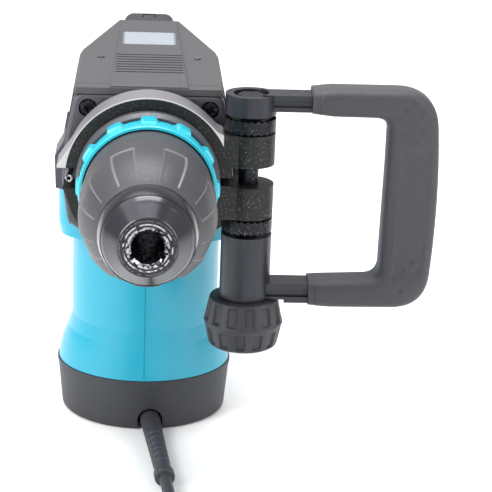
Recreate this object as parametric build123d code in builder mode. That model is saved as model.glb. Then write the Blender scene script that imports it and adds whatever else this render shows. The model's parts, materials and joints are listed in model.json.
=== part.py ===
"""Electric demolition hammer, standing on the cap at the foot of its motor.

The frame's origin is the centre of the base cap's underside, on the motor's axis.
+Z is up, the tool socket looks along -Y and the side handle stands out along +X.
All sizes are millimetres.
"""
import os
from math import acos, atan2, cos, pi, radians, sin, tan

from build123d import *

os.makedirs("parts", exist_ok=True)

# Driving dimensions
axis_z = 187.0  # height of the striking axis above the floor
nose_y = -234.0  # front end of the tool socket
face_y = -78.0  # front face of the crank housing
body_rear_y = 88.0  # rear face of the crank housing
body_half_width = 56.4
motor_rx, motor_ry = 48.3, 46.0  # half axes of the motor housing's oval
foot_rx, foot_ry = 57.8, 50.8  # half axes of the foot's oval
cap_height = 34.0
deck_z = 164.0  # joint between the motor housing and the crank housing
cover_z = 214.0  # joint between the crank housing and the top cover
top_z = 235.0
socket_r = 9.0  # 18 mm shank
socket_depth = 68.0
crank_y = 40.5  # crank axis behind the motor axis
throw = 7.5  # crank pin off the crank axis
rod_length = 72.0
bore_r = 18.0  # bore of the cylinder
post_x, post_y = 60.0, -94.0  # axis of the side handle's post
post_r = 15.3
grip_outer_x = 174.0  # outer side of the side handle's grip
grip_size = 32.2
cord_d = 7.6
cord_length = 5000.0
running = 0.05  # radial clearance of a running fit
gap = 0.3  # clearance between parts that only pass each other

tool_axis = Axis((0, 0, axis_z), (0, 1, 0))
tool_section = Plane(origin=(0, 0, axis_z), x_dir=(0, 1, 0), z_dir=(1, 0, 0))  # (Y, radius)
side_section = Plane(origin=(0, 0, 0), x_dir=(0, 1, 0), z_dir=(1, 0, 0))  # (Y, Z)


def across(y, z=0.0):
    """Plane square to Y at y, seen from the front: local x is X, local y is Z above z."""
    return Plane(origin=(0, y, z), x_dir=(1, 0, 0), z_dir=(0, -1, 0))


def save(piece, name):
    """Label a finished piece and write it as its own file."""
    piece.part.label = name
    export_step(piece.part, f"parts/{name}.step")


def polar(radius, degrees):
    """Point at a radius and an angle about the local origin."""
    return (radius * cos(radians(degrees)), radius * sin(radians(degrees)))


# ---------------------------------------------------------------- motor housing and foot

flare_z = 57.0  # crease where the flare leaves the motor's oval

with BuildPart() as motor_housing:
    with BuildSketch(Plane.XY.offset(cap_height + gap)):
        Ellipse(foot_rx - 0.8, foot_ry - 0.6)
    with BuildSketch(Plane.XY.offset(42)):
        Ellipse(foot_rx - 2.0, foot_ry - 1.4)
    with BuildSketch(Plane.XY.offset(flare_z)):
        Ellipse(motor_rx + 2.4, motor_ry + 1.4)
    loft()
    with BuildSketch(Plane.XY.offset(flare_z)):
        Ellipse(motor_rx + 2.4, motor_ry + 1.4)
    with BuildSketch(Plane.XY.offset(66)):
        Ellipse(motor_rx, motor_ry)
    loft()
    with BuildSketch(Plane.XY.offset(66)):
        Ellipse(motor_rx, motor_ry)
    extrude(amount=66)
    # wide saddle that carries the crank housing
    with BuildSketch(Plane.XY.offset(128)):
        with Locations((0, 22)):
            RectangleRounded(2 * body_half_width - 3, 2 * 66 - 3, 19)
    with BuildSketch(Plane.XY.offset(136)):
        with Locations((0, 22)):
            RectangleRounded(2 * body_half_width, 2 * 66, 20)
    loft()
    with BuildSketch(Plane.XY.offset(136)):
        with Locations((0, 22)):
            RectangleRounded(2 * body_half_width, 2 * 66, 20)
    extrude(amount=deck_z - 136)
    # boss for the rear handle's foot
    with BuildSketch(Plane.XY.offset(40)):
        with Locations((0, 47)):
            RectangleRounded(34, 22, 3)
    extrude(amount=28)
    # bore for the stator, the fan and the commutator
    with BuildSketch(Plane.XY.offset(cap_height)):
        Circle(41.3)
    extrude(amount=131 - cap_height, mode=Mode.SUBTRACT)
    # room for the gear plate and the crank housing's skirt
    with BuildSketch(Plane.XY.offset(131)):
        with Locations((0, 22)):
            RectangleRounded(2 * body_half_width - 7, 2 * 66 - 7, 16.5)
    extrude(amount=deck_z - 131 + 1, mode=Mode.SUBTRACT)
    # cooling slots through both sides of the saddle
    for side in (-1, 1):
        with BuildSketch(Plane.YZ.offset(side * (body_half_width + 2))):
            with Locations((34, 149)):
                with GridLocations(8, 1, 6, 1):
                    Rectangle(3.2, 16)
        extrude(amount=-side * 7, mode=Mode.SUBTRACT)

with BuildPart() as base_cap:
    with BuildSketch():
        Ellipse(foot_rx - 3.2, foot_ry - 0.6)
    with BuildSketch(Plane.XY.offset(cap_height - 3)):
        Ellipse(foot_rx - 0.4, foot_ry - 0.3)
    loft()
    with BuildSketch(Plane.XY.offset(cap_height - 3)):
        Ellipse(foot_rx, foot_ry)
    extrude(amount=3)
    fillet(base_cap.edges().group_by(Axis.Z)[0], 2.5)
    with BuildSketch(Plane.XY.offset(4)):
        Ellipse(foot_rx - 7.5, foot_ry - 7)
    extrude(amount=cap_height, mode=Mode.SUBTRACT)
    # hub that holds the lower bearing
    with BuildSketch(Plane.XY.offset(4)):
        Circle(15)
    extrude(amount=26)
    with BuildSketch(Plane.XY.offset(22)):
        Circle(11.02)
    extrude(amount=10, mode=Mode.SUBTRACT)
    with BuildSketch(Plane.XY.offset(18)):
        Circle(7)
    extrude(amount=5, mode=Mode.SUBTRACT)
    # tunnel for the strain relief, open at the underside's front edge
    with BuildSketch(across(-30, 6.7)):
        with Locations((4.4, 0)):
            Circle(8.2)
        with Locations((4.4, -4)):
            Rectangle(16.4, 8)
    extrude(amount=30, mode=Mode.SUBTRACT)
    # air slots in the back wall
    with BuildSketch(across(60, 19)):
        with GridLocations(9, 1, 6, 1):
            SlotOverall(16, 3.4, rotation=90)
    extrude(amount=26, mode=Mode.SUBTRACT)

# ---------------------------------------------------------------- crank housing

flange_back_y = face_y + 12
bolt_x, bolt_z = 36.5, 222.5
wall_low_x = 56.0  # half width of the casting at the deck
wall_mid_x, wall_mid_z = 52.6, 190.0  # where the side walls lean in further

with BuildPart() as crank_housing:
    # main casting, seen from the front
    with BuildSketch(across(body_rear_y)):
        Polygon(
            (-wall_low_x, deck_z), (wall_low_x, deck_z), (wall_mid_x, wall_mid_z), (48.6, cover_z),
            (-48.6, cover_z), (-wall_mid_x, wall_mid_z),
        )
    extrude(amount=body_rear_y + 44)
    fillet(crank_housing.faces().sort_by(Axis.Y)[-1].edges(), 9)
    # neck that steps forward to the front flange
    with BuildSketch(across(-44)):
        Polygon(
            (-48, 146), (48, 146), (53, 178), (51, 200), (48.2, cover_z), (-48.2, cover_z),
            (-51, 200), (-53, 178),
        )
    extrude(amount=-flange_back_y - 44)
    # swellings at the neck's sides
    with BuildSketch(across(-34)):
        for side in (-1, 1):
            Polygon(
                (side * 48, 166), (side * 56.4, 168), (side * 57, 188), (side * 51, 199), (side * 48, 199),
            )
    extrude(amount=29)
    with BuildSketch(across(flange_back_y)) as flange_outline:
        Polygon(
            (-38, 143), (38, 143), (48.5, 151), (52, 178), (50, 202), (44.5, 231), (-44.5, 231),
            (-50, 202), (-52, 178), (-48.5, 151),
        )
        fillet(flange_outline.vertices(), 6)
    extrude(amount=12)
    fillet(crank_housing.faces().sort_by(Axis.Y)[0].edges(), 2.2)
    # skirt that reaches down into the motor housing
    with BuildSketch(Plane.XY.offset(140.2)):
        with Locations((0, 22)):
            RectangleRounded(104, 122, 14)
    extrude(amount=deck_z - 140.2)
    # upper chamber for the crank, open at the top
    with BuildSketch(Plane.XY.offset(165)):
        with Locations((0, 14)):
            RectangleRounded(58, 102, 10)
    extrude(amount=62, mode=Mode.SUBTRACT)
    # the same chamber, wider below the seat of the top cover
    with BuildSketch(Plane.XY.offset(165)):
        with Locations((0, 16)):
            RectangleRounded(90, 112, 12)
    extrude(amount=31, mode=Mode.SUBTRACT)
    # lower chamber for the gears, open at the bottom
    with BuildSketch(Plane.XY.offset(140)):
        with Locations((0, 30)):
            RectangleRounded(84, 98, 10)
    extrude(amount=13, mode=Mode.SUBTRACT)
    # seat of the crank's upper bearing
    with BuildSketch(Plane.XY.offset(152)):
        with Locations((0, crank_y)):
            Circle(20.02)
    extrude(amount=14, mode=Mode.SUBTRACT)
    # opening for the barrel's spigot and the cylinder
    with BuildSketch(across(-30, axis_z)):
        Circle(26.6)
    extrude(amount=60, mode=Mode.SUBTRACT)
    # countersunk recesses of the front bolts
    with BuildSketch(across(face_y + 6)):
        with Locations((-bolt_x, bolt_z), (bolt_x, bolt_z)):
            Circle(5.6)
    extrude(amount=20, mode=Mode.SUBTRACT)

cover_rear_y = 134.0
cover_side_x = 43.2  # half width of the cover's flat top
taper_y = 30.0  # where the sides start to close in towards the handle
cover_rear_x = 20.8
label_y, label_width, label_length = 66.0, 36.0, 42.0

with BuildPart() as top_cover:
    with BuildSketch(across(cover_rear_y)):
        Polygon(
            (-48.4, cover_z + 0.2), (48.4, cover_z + 0.2), (45.4, 231.5), (cover_side_x, top_z),
            (-cover_side_x, top_z), (-45.4, 231.5),
        )
    extrude(amount=cover_rear_y - flange_back_y - 0.3)
    with BuildSketch(across(flange_back_y - 0.3)):
        Polygon((-44.8, 231.2), (44.8, 231.2), (cover_side_x, top_z), (-cover_side_x, top_z))
    extrude(amount=11.3)
    # hips that close in from the cover's full width to the rear handle
    with BuildSketch(Plane.XY.offset(cover_z - 1)):
        for side in (-1, 1):
            Polygon(
                (side * 60, taper_y), (side * cover_side_x, taper_y), (side * cover_rear_x, cover_rear_y),
                (side * 60, cover_rear_y),
            )
    extrude(amount=40, mode=Mode.SUBTRACT)
    # raised centre panel
    with BuildSketch(Plane.XY.offset(top_z - 1)):
        Polygon((-23.5, face_y + 2), (23.5, face_y + 2), (19.4, cover_rear_y - 9), (-19.4, cover_rear_y - 9))
    extrude(amount=2.2)
    fillet(top_cover.edges().group_by(Axis.Z)[-1], 0.8)
    # cross slots
    with BuildSketch(Plane.XY.offset(top_z + 2)):
        for row in range(8):
            with Locations((0, -38 + 7.2 * row)):
                SlotOverall(43, 2.6)
    extrude(amount=-3.4, mode=Mode.SUBTRACT)
    # hollow over the crank chamber
    with BuildSketch(Plane.XY.offset(cover_z)):
        Polygon((-37, -51), (37, -51), (37, 24), (16, 122), (-16, 122), (-37, 24))
    extrude(amount=16, mode=Mode.SUBTRACT)
    # seat of the rating label
    with BuildSketch(Plane.XY.offset(top_z + 1.2)):
        with Locations((0, label_y)):
            Rectangle(label_width + 0.4, label_length + 0.4)
    extrude(amount=-0.7, mode=Mode.SUBTRACT)

with BuildPart() as rating_label:
    with BuildSketch(Plane.XY.offset(top_z + 0.5)):
        with Locations((0, label_y)):
            RectangleRounded(label_width, label_length, 1.5)
    extrude(amount=0.6)

wall_lean = atan2(wall_low_x - wall_mid_x, wall_mid_z - deck_z)

with BuildPart() as side_covers:
    for side in (-1, 1):
        wall = Plane(
            origin=(side * ((wall_low_x + wall_mid_x) / 2 + 0.02), 0, (deck_z + wall_mid_z) / 2),
            x_dir=(0, 1, 0),
            z_dir=(side * cos(wall_lean), 0, sin(wall_lean)),
        )
        with BuildSketch(wall):
            with Locations((22, 0)):
                RectangleRounded(78, 20, 7)
        extrude(amount=1.4)
    chamfer(side_covers.faces().sort_by(Axis.X)[-1].edges(), 0.6)
    chamfer(side_covers.faces().sort_by(Axis.X)[0].edges(), 0.6)

with BuildPart() as housing_bolts:
    with BuildSketch(across(face_y + 5.9)):
        with Locations((-bolt_x, bolt_z), (bolt_x, bolt_z)):
            Circle(4.6)
    extrude(amount=5.2)
    with BuildSketch(across(face_y - 4)):
        with Locations((-bolt_x, bolt_z), (bolt_x, bolt_z)):
            RegularPolygon(2.3, 6)
    extrude(amount=-8, mode=Mode.SUBTRACT)

# ---------------------------------------------------------------- barrel and striking train

band_back_y, band_front_y = -84.5, -107.5
band_in_r, band_out_r = 41.3, 49.3
ring_bore_r = 38.1  # the change ring slides on the barrel's nose

with BuildPart() as barrel:
    with BuildSketch(tool_section):
        Polygon(
            (-52, 20.4), (-52, 26.5), (face_y - 0.2, 26.5), (face_y - 0.2, 44), (-83, 44), (-83, 41),
            (-109, 41),
            (-109, 42.4), (-113.5, 42.4), (-117, 40.5), (-117, ring_bore_r - running),
            (-126, ring_bore_r - running), (-126, 15 + running), (-108, 15 + running), (-108, 20.4),
        )
    revolve(axis=tool_axis)

with BuildPart() as cylinder:
    with BuildSketch(tool_section):
        Polygon((-22, bore_r), (-22, 20.35), (-107.8, 20.35), (-107.8, bore_r))
    revolve(axis=tool_axis)

crank_pin_y = crank_y - throw
wrist_y = crank_pin_y - rod_length
piston_back = 2 * throw
crown_y = wrist_y - 6 - piston_back - 1  # inside of the piston's crown

with BuildPart() as piston:
    with BuildSketch(tool_section):
        Polygon(
            (crown_y - 8, 0), (crown_y, 0), (crown_y, 15.5), (wrist_y + 10, 15.5),
            (wrist_y + 10, bore_r - running), (crown_y - 2.5, bore_r - running), (crown_y - 2.5, 16.4),
            (crown_y - 5, 16.4), (crown_y - 5, bore_r - running), (crown_y - 8, bore_r - running),
        )
    revolve(axis=tool_axis)

with BuildPart() as piston_ring:
    with BuildSketch(tool_section):
        Polygon(
            (crown_y - 2.55, 16.45), (crown_y - 2.55, bore_r - 0.02), (crown_y - 4.95, bore_r - 0.02),
            (crown_y - 4.95, 16.45),
        )
    revolve(axis=tool_axis)

striker_rear_y = crown_y - 8 - 21
striker_length = 26.0

with BuildPart() as striker:
    with BuildSketch(tool_section):
        Polygon(
            (striker_rear_y, 0), (striker_rear_y, bore_r - running), (striker_rear_y - 5, bore_r - running),
            (striker_rear_y - 5, 16.4), (striker_rear_y - 7.5, 16.4),
            (striker_rear_y - 7.5, bore_r - running),
            (striker_rear_y - 17.5, bore_r - running), (striker_rear_y - 17.5, 9),
            (striker_rear_y - striker_length, 9), (striker_rear_y - striker_length, 0),
        )
    revolve(axis=tool_axis)

with BuildPart() as striker_ring:
    with BuildSketch(tool_section):
        Polygon(
            (striker_rear_y - 5.05, 16.45), (striker_rear_y - 5.05, bore_r - 0.02),
            (striker_rear_y - 7.45, bore_r - 0.02), (striker_rear_y - 7.45, 16.45),
        )
    revolve(axis=tool_axis)

bolt_rear_y = striker_rear_y - striker_length - 0.4
socket_floor_y = nose_y + socket_depth

with BuildPart() as impact_bolt:
    with BuildSketch(tool_section):
        Polygon(
            (bolt_rear_y, 0), (bolt_rear_y, 8), (-134, 8), (-134, 10), (-152, 10), (-156, 7),
            (socket_floor_y, 7), (socket_floor_y, 0),
        )
    revolve(axis=tool_axis)

# ---------------------------------------------------------------- tool holder and its sleeve

roller_y = -196.0
roller_r = 3.0
roller_centre = 12.8
collar_y = -176.0

with BuildPart() as tool_holder:
    with BuildSketch(tool_section):
        Polygon(
            (-117.5, 8.1), (-117.5, 15), (collar_y, 15), (collar_y, 20), (collar_y - 4, 20),
            (collar_y - 4, 15),
            (nose_y + 0.4, 15), (nose_y + 0.4, 11.2), (nose_y, 11.2), (nose_y, 10.2),
            (nose_y + 1.2, socket_r),
            (socket_floor_y, socket_r), (socket_floor_y, 10.1), (-130, 10.1), (-130, 8.1),
        )
    revolve(axis=tool_axis)
    # three open splines of the socket
    with BuildSketch(across(nose_y + 55, axis_z)):
        with PolarLocations(socket_r + 0.2, 3, start_angle=90):
            Rectangle(2.6, 3.0)
    extrude(amount=60, mode=Mode.SUBTRACT)
    # windows of the locking rollers
    for side in (-1, 1):
        with BuildSketch(Plane.YZ.offset(side * (socket_r + 0.3))):
            with Locations((roller_y, axis_z)):
                SlotOverall(20, 2 * roller_r + 0.4)
        extrude(amount=side * 10, mode=Mode.SUBTRACT)

with BuildPart() as locking_rollers:
    for side in (-1, 1):
        with BuildSketch(across(roller_y + 6, axis_z)):
            with Locations((side * roller_centre, 0)):
                Circle(roller_r)
        extrude(amount=12)

with BuildPart() as nose_seal:
    with BuildSketch(tool_section):
        Polygon(
            (nose_y + 0.2, 11.4), (nose_y + 0.2, 14.2), (nose_y + 1.0, 15.2), (nose_y + 8, 15.2),
            (nose_y + 8, 15.0), (nose_y + 0.5, 15.0), (nose_y + 0.5, 11.4),
        )
    revolve(axis=tool_axis)

cover_front_y = -209.0

with BuildPart() as nose_cap:
    with BuildSketch(tool_section):
        with BuildLine():
            Polyline(
                (nose_y + 0.6, 15.3), (nose_y + 9.3, 22.7), (nose_y + 13, 25.2),
            )
            RadiusArc((nose_y + 13, 25.2), (cover_front_y - 0.4, 27.4), 60)
            Polyline(
                (cover_front_y - 0.4, 27.4), (cover_front_y - 0.4, 15.3), (nose_y + 0.6, 15.3),
            )
        make_face()
    revolve(axis=tool_axis)

with BuildPart() as release_cover:
    with BuildSketch(tool_section):
        with BuildLine():
            Polyline((cover_front_y, 21), (cover_front_y, 27.4))
            ThreePointArc((cover_front_y, 27.4), (-196, 34.9), (-178, 38.4))
            Polyline((-178, 38.4), (-160, 38.6), (-146, 37.4), (-134, 37.2), (-134, 34.2), (-146, 34.2),
                     (-158, 35), (-178, 35), (-194, 31), (-205, 24), (-205, 21), (cover_front_y, 21))
        make_face()
    revolve(axis=tool_axis)
    # guide web that centres the cover on the holder
    with BuildSketch(tool_section):
        Polygon((-164, 15 + running), (-164, 35.2), (-168, 35.2), (-168, 15 + running))
    revolve(axis=tool_axis)
    # shallow finger panels, alternate ones long and short
    for step in range(10):
        turn = 90 + 18 + 36 * step
        panel = Plane(
            origin=(polar(38.9, turn)[0], -184, axis_z + polar(38.9, turn)[1]),
            x_dir=(polar(1, turn + 90)[0], 0, polar(1, turn + 90)[1]),
            z_dir=(-polar(1, turn)[0], -0.22, -polar(1, turn)[1]),
        )
        with BuildSketch(panel):
            RectangleRounded(12, 24, 2)
        extrude(amount=1.4, mode=Mode.SUBTRACT)

spring_front_y, spring_rear_y = -204.8, collar_y - 4.2
spring_turns = 5
spring_wire = 1.6
with BuildPart() as release_spring:
    with BuildLine() as spring_path:
        Helix(
            pitch=(spring_rear_y - spring_front_y - spring_wire) / spring_turns,
            height=spring_rear_y - spring_front_y - spring_wire,
            radius=18,
            center=(0, spring_front_y + spring_wire / 2, axis_z),
            direction=(0, 1, 0),
        )
    with BuildSketch(Plane(spring_path.line @ 0, z_dir=spring_path.line % 0)):
        Circle(spring_wire / 2)
    sweep()

ring_rear_y, ring_front_y = -118.2, -136.0
lobe_count = 12

with BuildPart() as change_ring:
    with BuildSketch(tool_section):
        Polygon(
            (ring_rear_y, ring_bore_r), (ring_rear_y, 39.6), (ring_rear_y - 1.2, 40.3),
            (ring_front_y + 1, 40.3), (ring_front_y, 39.5), (ring_front_y, ring_bore_r),
        )
    revolve(axis=tool_axis)
    # grip lobes round the rear half
    with BuildSketch(across(ring_rear_y - 0.4, axis_z)):
        with PolarLocations(0, lobe_count, start_angle=90):
            Polygon((39.5, -4.6), (41.8, -2.6), (41.8, 2.6), (39.5, 4.6))
    extrude(amount=8)

# ---------------------------------------------------------------- motor

pinion_teeth, gear_teeth = 9, 45
gear_module = 1.5
pressure_angle = 25.0
gear_z, gear_width = 141.0, 11.0


def gear_outline(teeth, first_angle, thinning=0.16):
    """Corner points of a spur gear with involute flanks, counter-clockwise.

    A flank point at radius r lies off its tooth's middle by the half tooth at the
    pitch circle plus the difference of the two involute angles.
    """
    pitch_r = gear_module * teeth / 2
    base_r = pitch_r * cos(radians(pressure_angle))
    root_r = pitch_r - 1.15 * gear_module
    tip_r = pitch_r + 0.8 * gear_module

    def involute(r):
        angle = acos(min(1.0, base_r / r))
        return tan(angle) - angle

    half = pi / (2 * teeth) * (1 - thinning)
    radii = [max(base_r, root_r + 0.2), pitch_r, tip_r]
    offsets = [half + involute(pitch_r) - involute(r) for r in radii]
    points = []
    for tooth in range(teeth):
        middle = radians(first_angle) + 2 * pi * tooth / teeth
        flank = [(root_r, offsets[0])] + list(zip(radii, offsets))
        points += [(r * cos(middle - a), r * sin(middle - a)) for r, a in flank]
        points += [(r * cos(middle + a), r * sin(middle + a)) for r, a in reversed(flank)]
    return points


with BuildPart() as armature_shaft:
    with BuildSketch(Plane.XY.offset(20)):
        Circle(5)
    extrude(amount=gear_z - 20)
    with BuildSketch(Plane.XY.offset(gear_z)):
        Polygon(*gear_outline(pinion_teeth, 90 + 180 / pinion_teeth))
    extrude(amount=gear_width)

with BuildPart() as armature_core:
    with BuildSketch(Plane.XY.offset(56)):
        Circle(23)
        with PolarLocations(22, 12):
            Rectangle(5, 2.2, mode=Mode.SUBTRACT)
        Circle(5, mode=Mode.SUBTRACT)
    extrude(amount=54)
    # end windings
    with BuildSketch(Plane.XY.offset(51.5)):
        Circle(18)
        Circle(5, mode=Mode.SUBTRACT)
    extrude(amount=62.5)

with BuildPart() as commutator:
    with BuildSketch(Plane.XY.offset(34)):
        Circle(14)
        Circle(5, mode=Mode.SUBTRACT)
        with PolarLocations(14, 22):
            Rectangle(2, 0.6, mode=Mode.SUBTRACT)
    extrude(amount=17)

with BuildPart() as fan:
    with BuildSketch(Plane.XY.offset(116)):
        Circle(37)
        Circle(5, mode=Mode.SUBTRACT)
    extrude(amount=1.8)
    with BuildSketch(Plane.XY.offset(117.8)):
        Circle(11)
        Circle(5, mode=Mode.SUBTRACT)
        with PolarLocations(0, 16):
            Polygon((15, -1), (36, 4.6), (36, 6.2), (15, 0.6))
    extrude(amount=8.4)

with BuildPart() as field_stator:
    with BuildSketch(Plane.XY.offset(56)):
        Circle(41.1)
        Circle(24.2, mode=Mode.SUBTRACT)
        for side in (-1, 1):
            with Locations((side * 30, 0)):
                Rectangle(9, 26, mode=Mode.SUBTRACT)
    extrude(amount=54)

with BuildPart() as armature_bearings:
    with BuildSketch(Plane.XY.offset(22.1)):
        Circle(11)
        Circle(5 + 0.04, mode=Mode.SUBTRACT)
    extrude(amount=8)
    with BuildSketch(Plane.XY.offset(131.2)):
        Circle(13)
        Circle(5 + 0.04, mode=Mode.SUBTRACT)
    extrude(amount=8)

with BuildPart() as brush_holders:
    for side in (-1, 1):
        with BuildSketch(Plane.XY.offset(38)):
            with Locations((side * 30, 0)):
                Rectangle(18, 12)
        extrude(amount=10)
        with BuildSketch(Plane.XY.offset(40)):
            with Locations((side * 30, 0)):
                Rectangle(18, 8)
        extrude(amount=6, mode=Mode.SUBTRACT)

with BuildPart() as carbon_brushes:
    for side in (-1, 1):
        with BuildSketch(Plane.XY.offset(40.1)):
            with Locations((side * 23.2, 0)):
                Rectangle(18, 7.8)
        extrude(amount=5.8)

with BuildPart() as gear_plate:
    with BuildSketch(Plane.XY.offset(131.1)):
        with Locations((0, 22)):
            RectangleRounded(104, 122, 14)
    extrude(amount=8.9)
    with BuildSketch(Plane.XY.offset(131)):
        Circle(13.02)
        with Locations((0, crank_y)):
            Circle(16.02)
    extrude(amount=8.4, mode=Mode.SUBTRACT)
    with BuildSketch(Plane.XY.offset(130)):
        Circle(8)
        with Locations((0, crank_y)):
            Circle(9)
    extrude(amount=12, mode=Mode.SUBTRACT)

# ---------------------------------------------------------------- crank

with BuildPart() as crankshaft:
    with BuildSketch(Plane.XY.offset(131.5)):
        with Locations((0, crank_y)):
            Circle(8)
    extrude(amount=35)
    with BuildSketch(Plane.XY.offset(166.5)):
        with Locations((0, crank_y)):
            Circle(18)
    extrude(amount=8)
    with BuildSketch(Plane.XY.offset(174.5)):
        with Locations((0, crank_pin_y)):
            Circle(5.5)
    extrude(amount=22)

with BuildPart() as crank_gear:
    with BuildSketch(Plane.XY.offset(gear_z)):
        with Locations((0, crank_y)):
            Polygon(*gear_outline(gear_teeth, -90))
            Circle(8, mode=Mode.SUBTRACT)
            with PolarLocations(20, 5):
                Circle(5.5, mode=Mode.SUBTRACT)
    extrude(amount=gear_width)

with BuildPart() as crank_bearings:
    with BuildSketch(Plane.XY.offset(131.2)):
        with Locations((0, crank_y)):
            Circle(16)
            Circle(8.04, mode=Mode.SUBTRACT)
    extrude(amount=8)
    with BuildSketch(Plane.XY.offset(153)):
        with Locations((0, crank_y)):
            Circle(20)
            Circle(8.04, mode=Mode.SUBTRACT)
    extrude(amount=12)

with BuildPart() as connecting_rod:
    with BuildSketch(Plane.XY.offset(axis_z - 5)):
        with Locations((0, crank_pin_y)):
            Circle(10)
        with Locations((0, wrist_y)):
            Circle(6)
        with Locations((0, (crank_pin_y + wrist_y) / 2)):
            Rectangle(9, rod_length - 4)
        with Locations((0, crank_pin_y)):
            Circle(5.5 + running, mode=Mode.SUBTRACT)
        with Locations((0, wrist_y)):
            Circle(3.5, mode=Mode.SUBTRACT)
    extrude(amount=10)

with BuildPart() as wrist_pin:
    with BuildSketch(Plane.XY.offset(axis_z - 9.5)):
        with Locations((0, wrist_y)):
            Circle(3.5)
    extrude(amount=19)

# ---------------------------------------------------------------- side handle

knob_r = 24.3
lug_top, lug_low = 214.5, 195.3  # upper lug of the clamp band
lower_lug_top, lower_lug_low = 183.0, 163.2
collar_height = 9.4
bolt_r = 6.0
bolt_low = 88.0  # lower end of the clamp bolt, inside the knob
eye_low, eye_top = 225.8, 237.8
tube_low, tube_top = 111.5, 151.6
pivot = (-46.6, 0.4)  # hinge of the two band halves, from the tool's axis

with BuildPart() as clamp_band_upper:
    with BuildSketch(across(band_back_y, axis_z)):
        with BuildLine():
            inner = CenterArc((0, 0), band_in_r, 3, 168)
            outer = CenterArc((0, 0), band_out_r, 48, 107)
            Polyline(
                inner @ 0, (band_in_r + 8, (inner @ 0).Y), (band_in_r + 8, 27.3), (44.8, 27.3),
                (40.5, 29.5), outer @ 0
            )
            Polyline(outer @ 1, (-53.5, 8), (-53.5, (inner @ 1).Y), inner @ 1)
        make_face()
    extrude(amount=band_back_y - band_front_y)
    # lug that clamps the post
    with BuildSketch(Plane.XY.offset(lug_low)):
        with Locations((post_x, post_y)):
            Circle(post_r)
        with Locations((post_x - 9, (band_back_y + band_front_y) / 2)):
            Rectangle(18, band_back_y - band_front_y)
    extrude(amount=lug_top - lug_low)
    with BuildSketch(Plane.XY.offset(lug_low - 1)):
        with Locations((post_x, post_y)):
            Circle(bolt_r + 0.3)
    extrude(amount=30, mode=Mode.SUBTRACT)
    with BuildSketch(across(band_back_y + 12, axis_z)):
        Circle(band_in_r)
        with Locations(pivot):
            Circle(2.3)
    extrude(amount=60, mode=Mode.SUBTRACT)

with BuildPart() as clamp_band_lower:
    with BuildSketch(across(band_back_y, axis_z)):
        with BuildLine():
            inner = CenterArc((0, 0), band_in_r, 188, 168)
            outer = CenterArc((0, 0), band_out_r, 205, 115)
            Polyline(
                outer @ 1, (44.2, -23.8), (band_in_r + 8, -23.8), (band_in_r + 8, (inner @ 1).Y), inner @ 1
            )
            Polyline(inner @ 0, (-50, (inner @ 0).Y), outer @ 0)
        make_face()
    extrude(amount=band_back_y - band_front_y)
    with BuildSketch(Plane.XY.offset(lower_lug_low)):
        with Locations((post_x, post_y)):
            Circle(post_r)
        with Locations((post_x - 9, (band_back_y + band_front_y) / 2)):
            Rectangle(18, band_back_y - band_front_y)
    extrude(amount=lower_lug_top - lower_lug_low)
    with BuildSketch(Plane.XY.offset(lower_lug_low - 1)):
        with Locations((post_x, post_y)):
            Circle(bolt_r + 0.3)
    extrude(amount=30, mode=Mode.SUBTRACT)
    with BuildSketch(across(band_back_y + 12, axis_z)):
        Circle(band_in_r)
    extrude(amount=60, mode=Mode.SUBTRACT)

with BuildPart() as clamp_hinge_pin:
    with BuildSketch(across(band_back_y + 0.6, axis_z)):
        with Locations(pivot):
            Circle(2.28)
            Circle(1.2, mode=Mode.SUBTRACT)
    extrude(amount=band_back_y - band_front_y + 1.2)

with BuildPart() as serrated_collars:
    for low in (lug_top + 0.4, lower_lug_low - 0.4 - collar_height):
        with BuildSketch(Plane.XY.offset(low)):
            with Locations((post_x, post_y)):
                Circle(post_r)
                Circle(bolt_r + 0.3, mode=Mode.SUBTRACT)
        extrude(amount=collar_height)

with BuildPart() as clamp_bolt:
    with BuildSketch(Plane.XY.offset(bolt_low)):
        with Locations((post_x, post_y)):
            Circle(bolt_r)
    extrude(amount=eye_top - 5 - bolt_low)
    with BuildSketch(Plane.XY.offset(eye_top - 5.2)):
        with Locations((post_x, post_y)):
            RegularPolygon(8.6, 6)
    extrude(amount=4.4)

arm_top_z, arm_low_z = 233.5, 115.5  # middle lines of the two arms
arm_top_half, arm_low_half = 4.9, 6.0  # half heights
arm_depth = 17.0
sleeve_top_x, sleeve_low_x = 96.0, 98.5
grip_x = grip_outer_x - grip_size / 2

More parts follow.
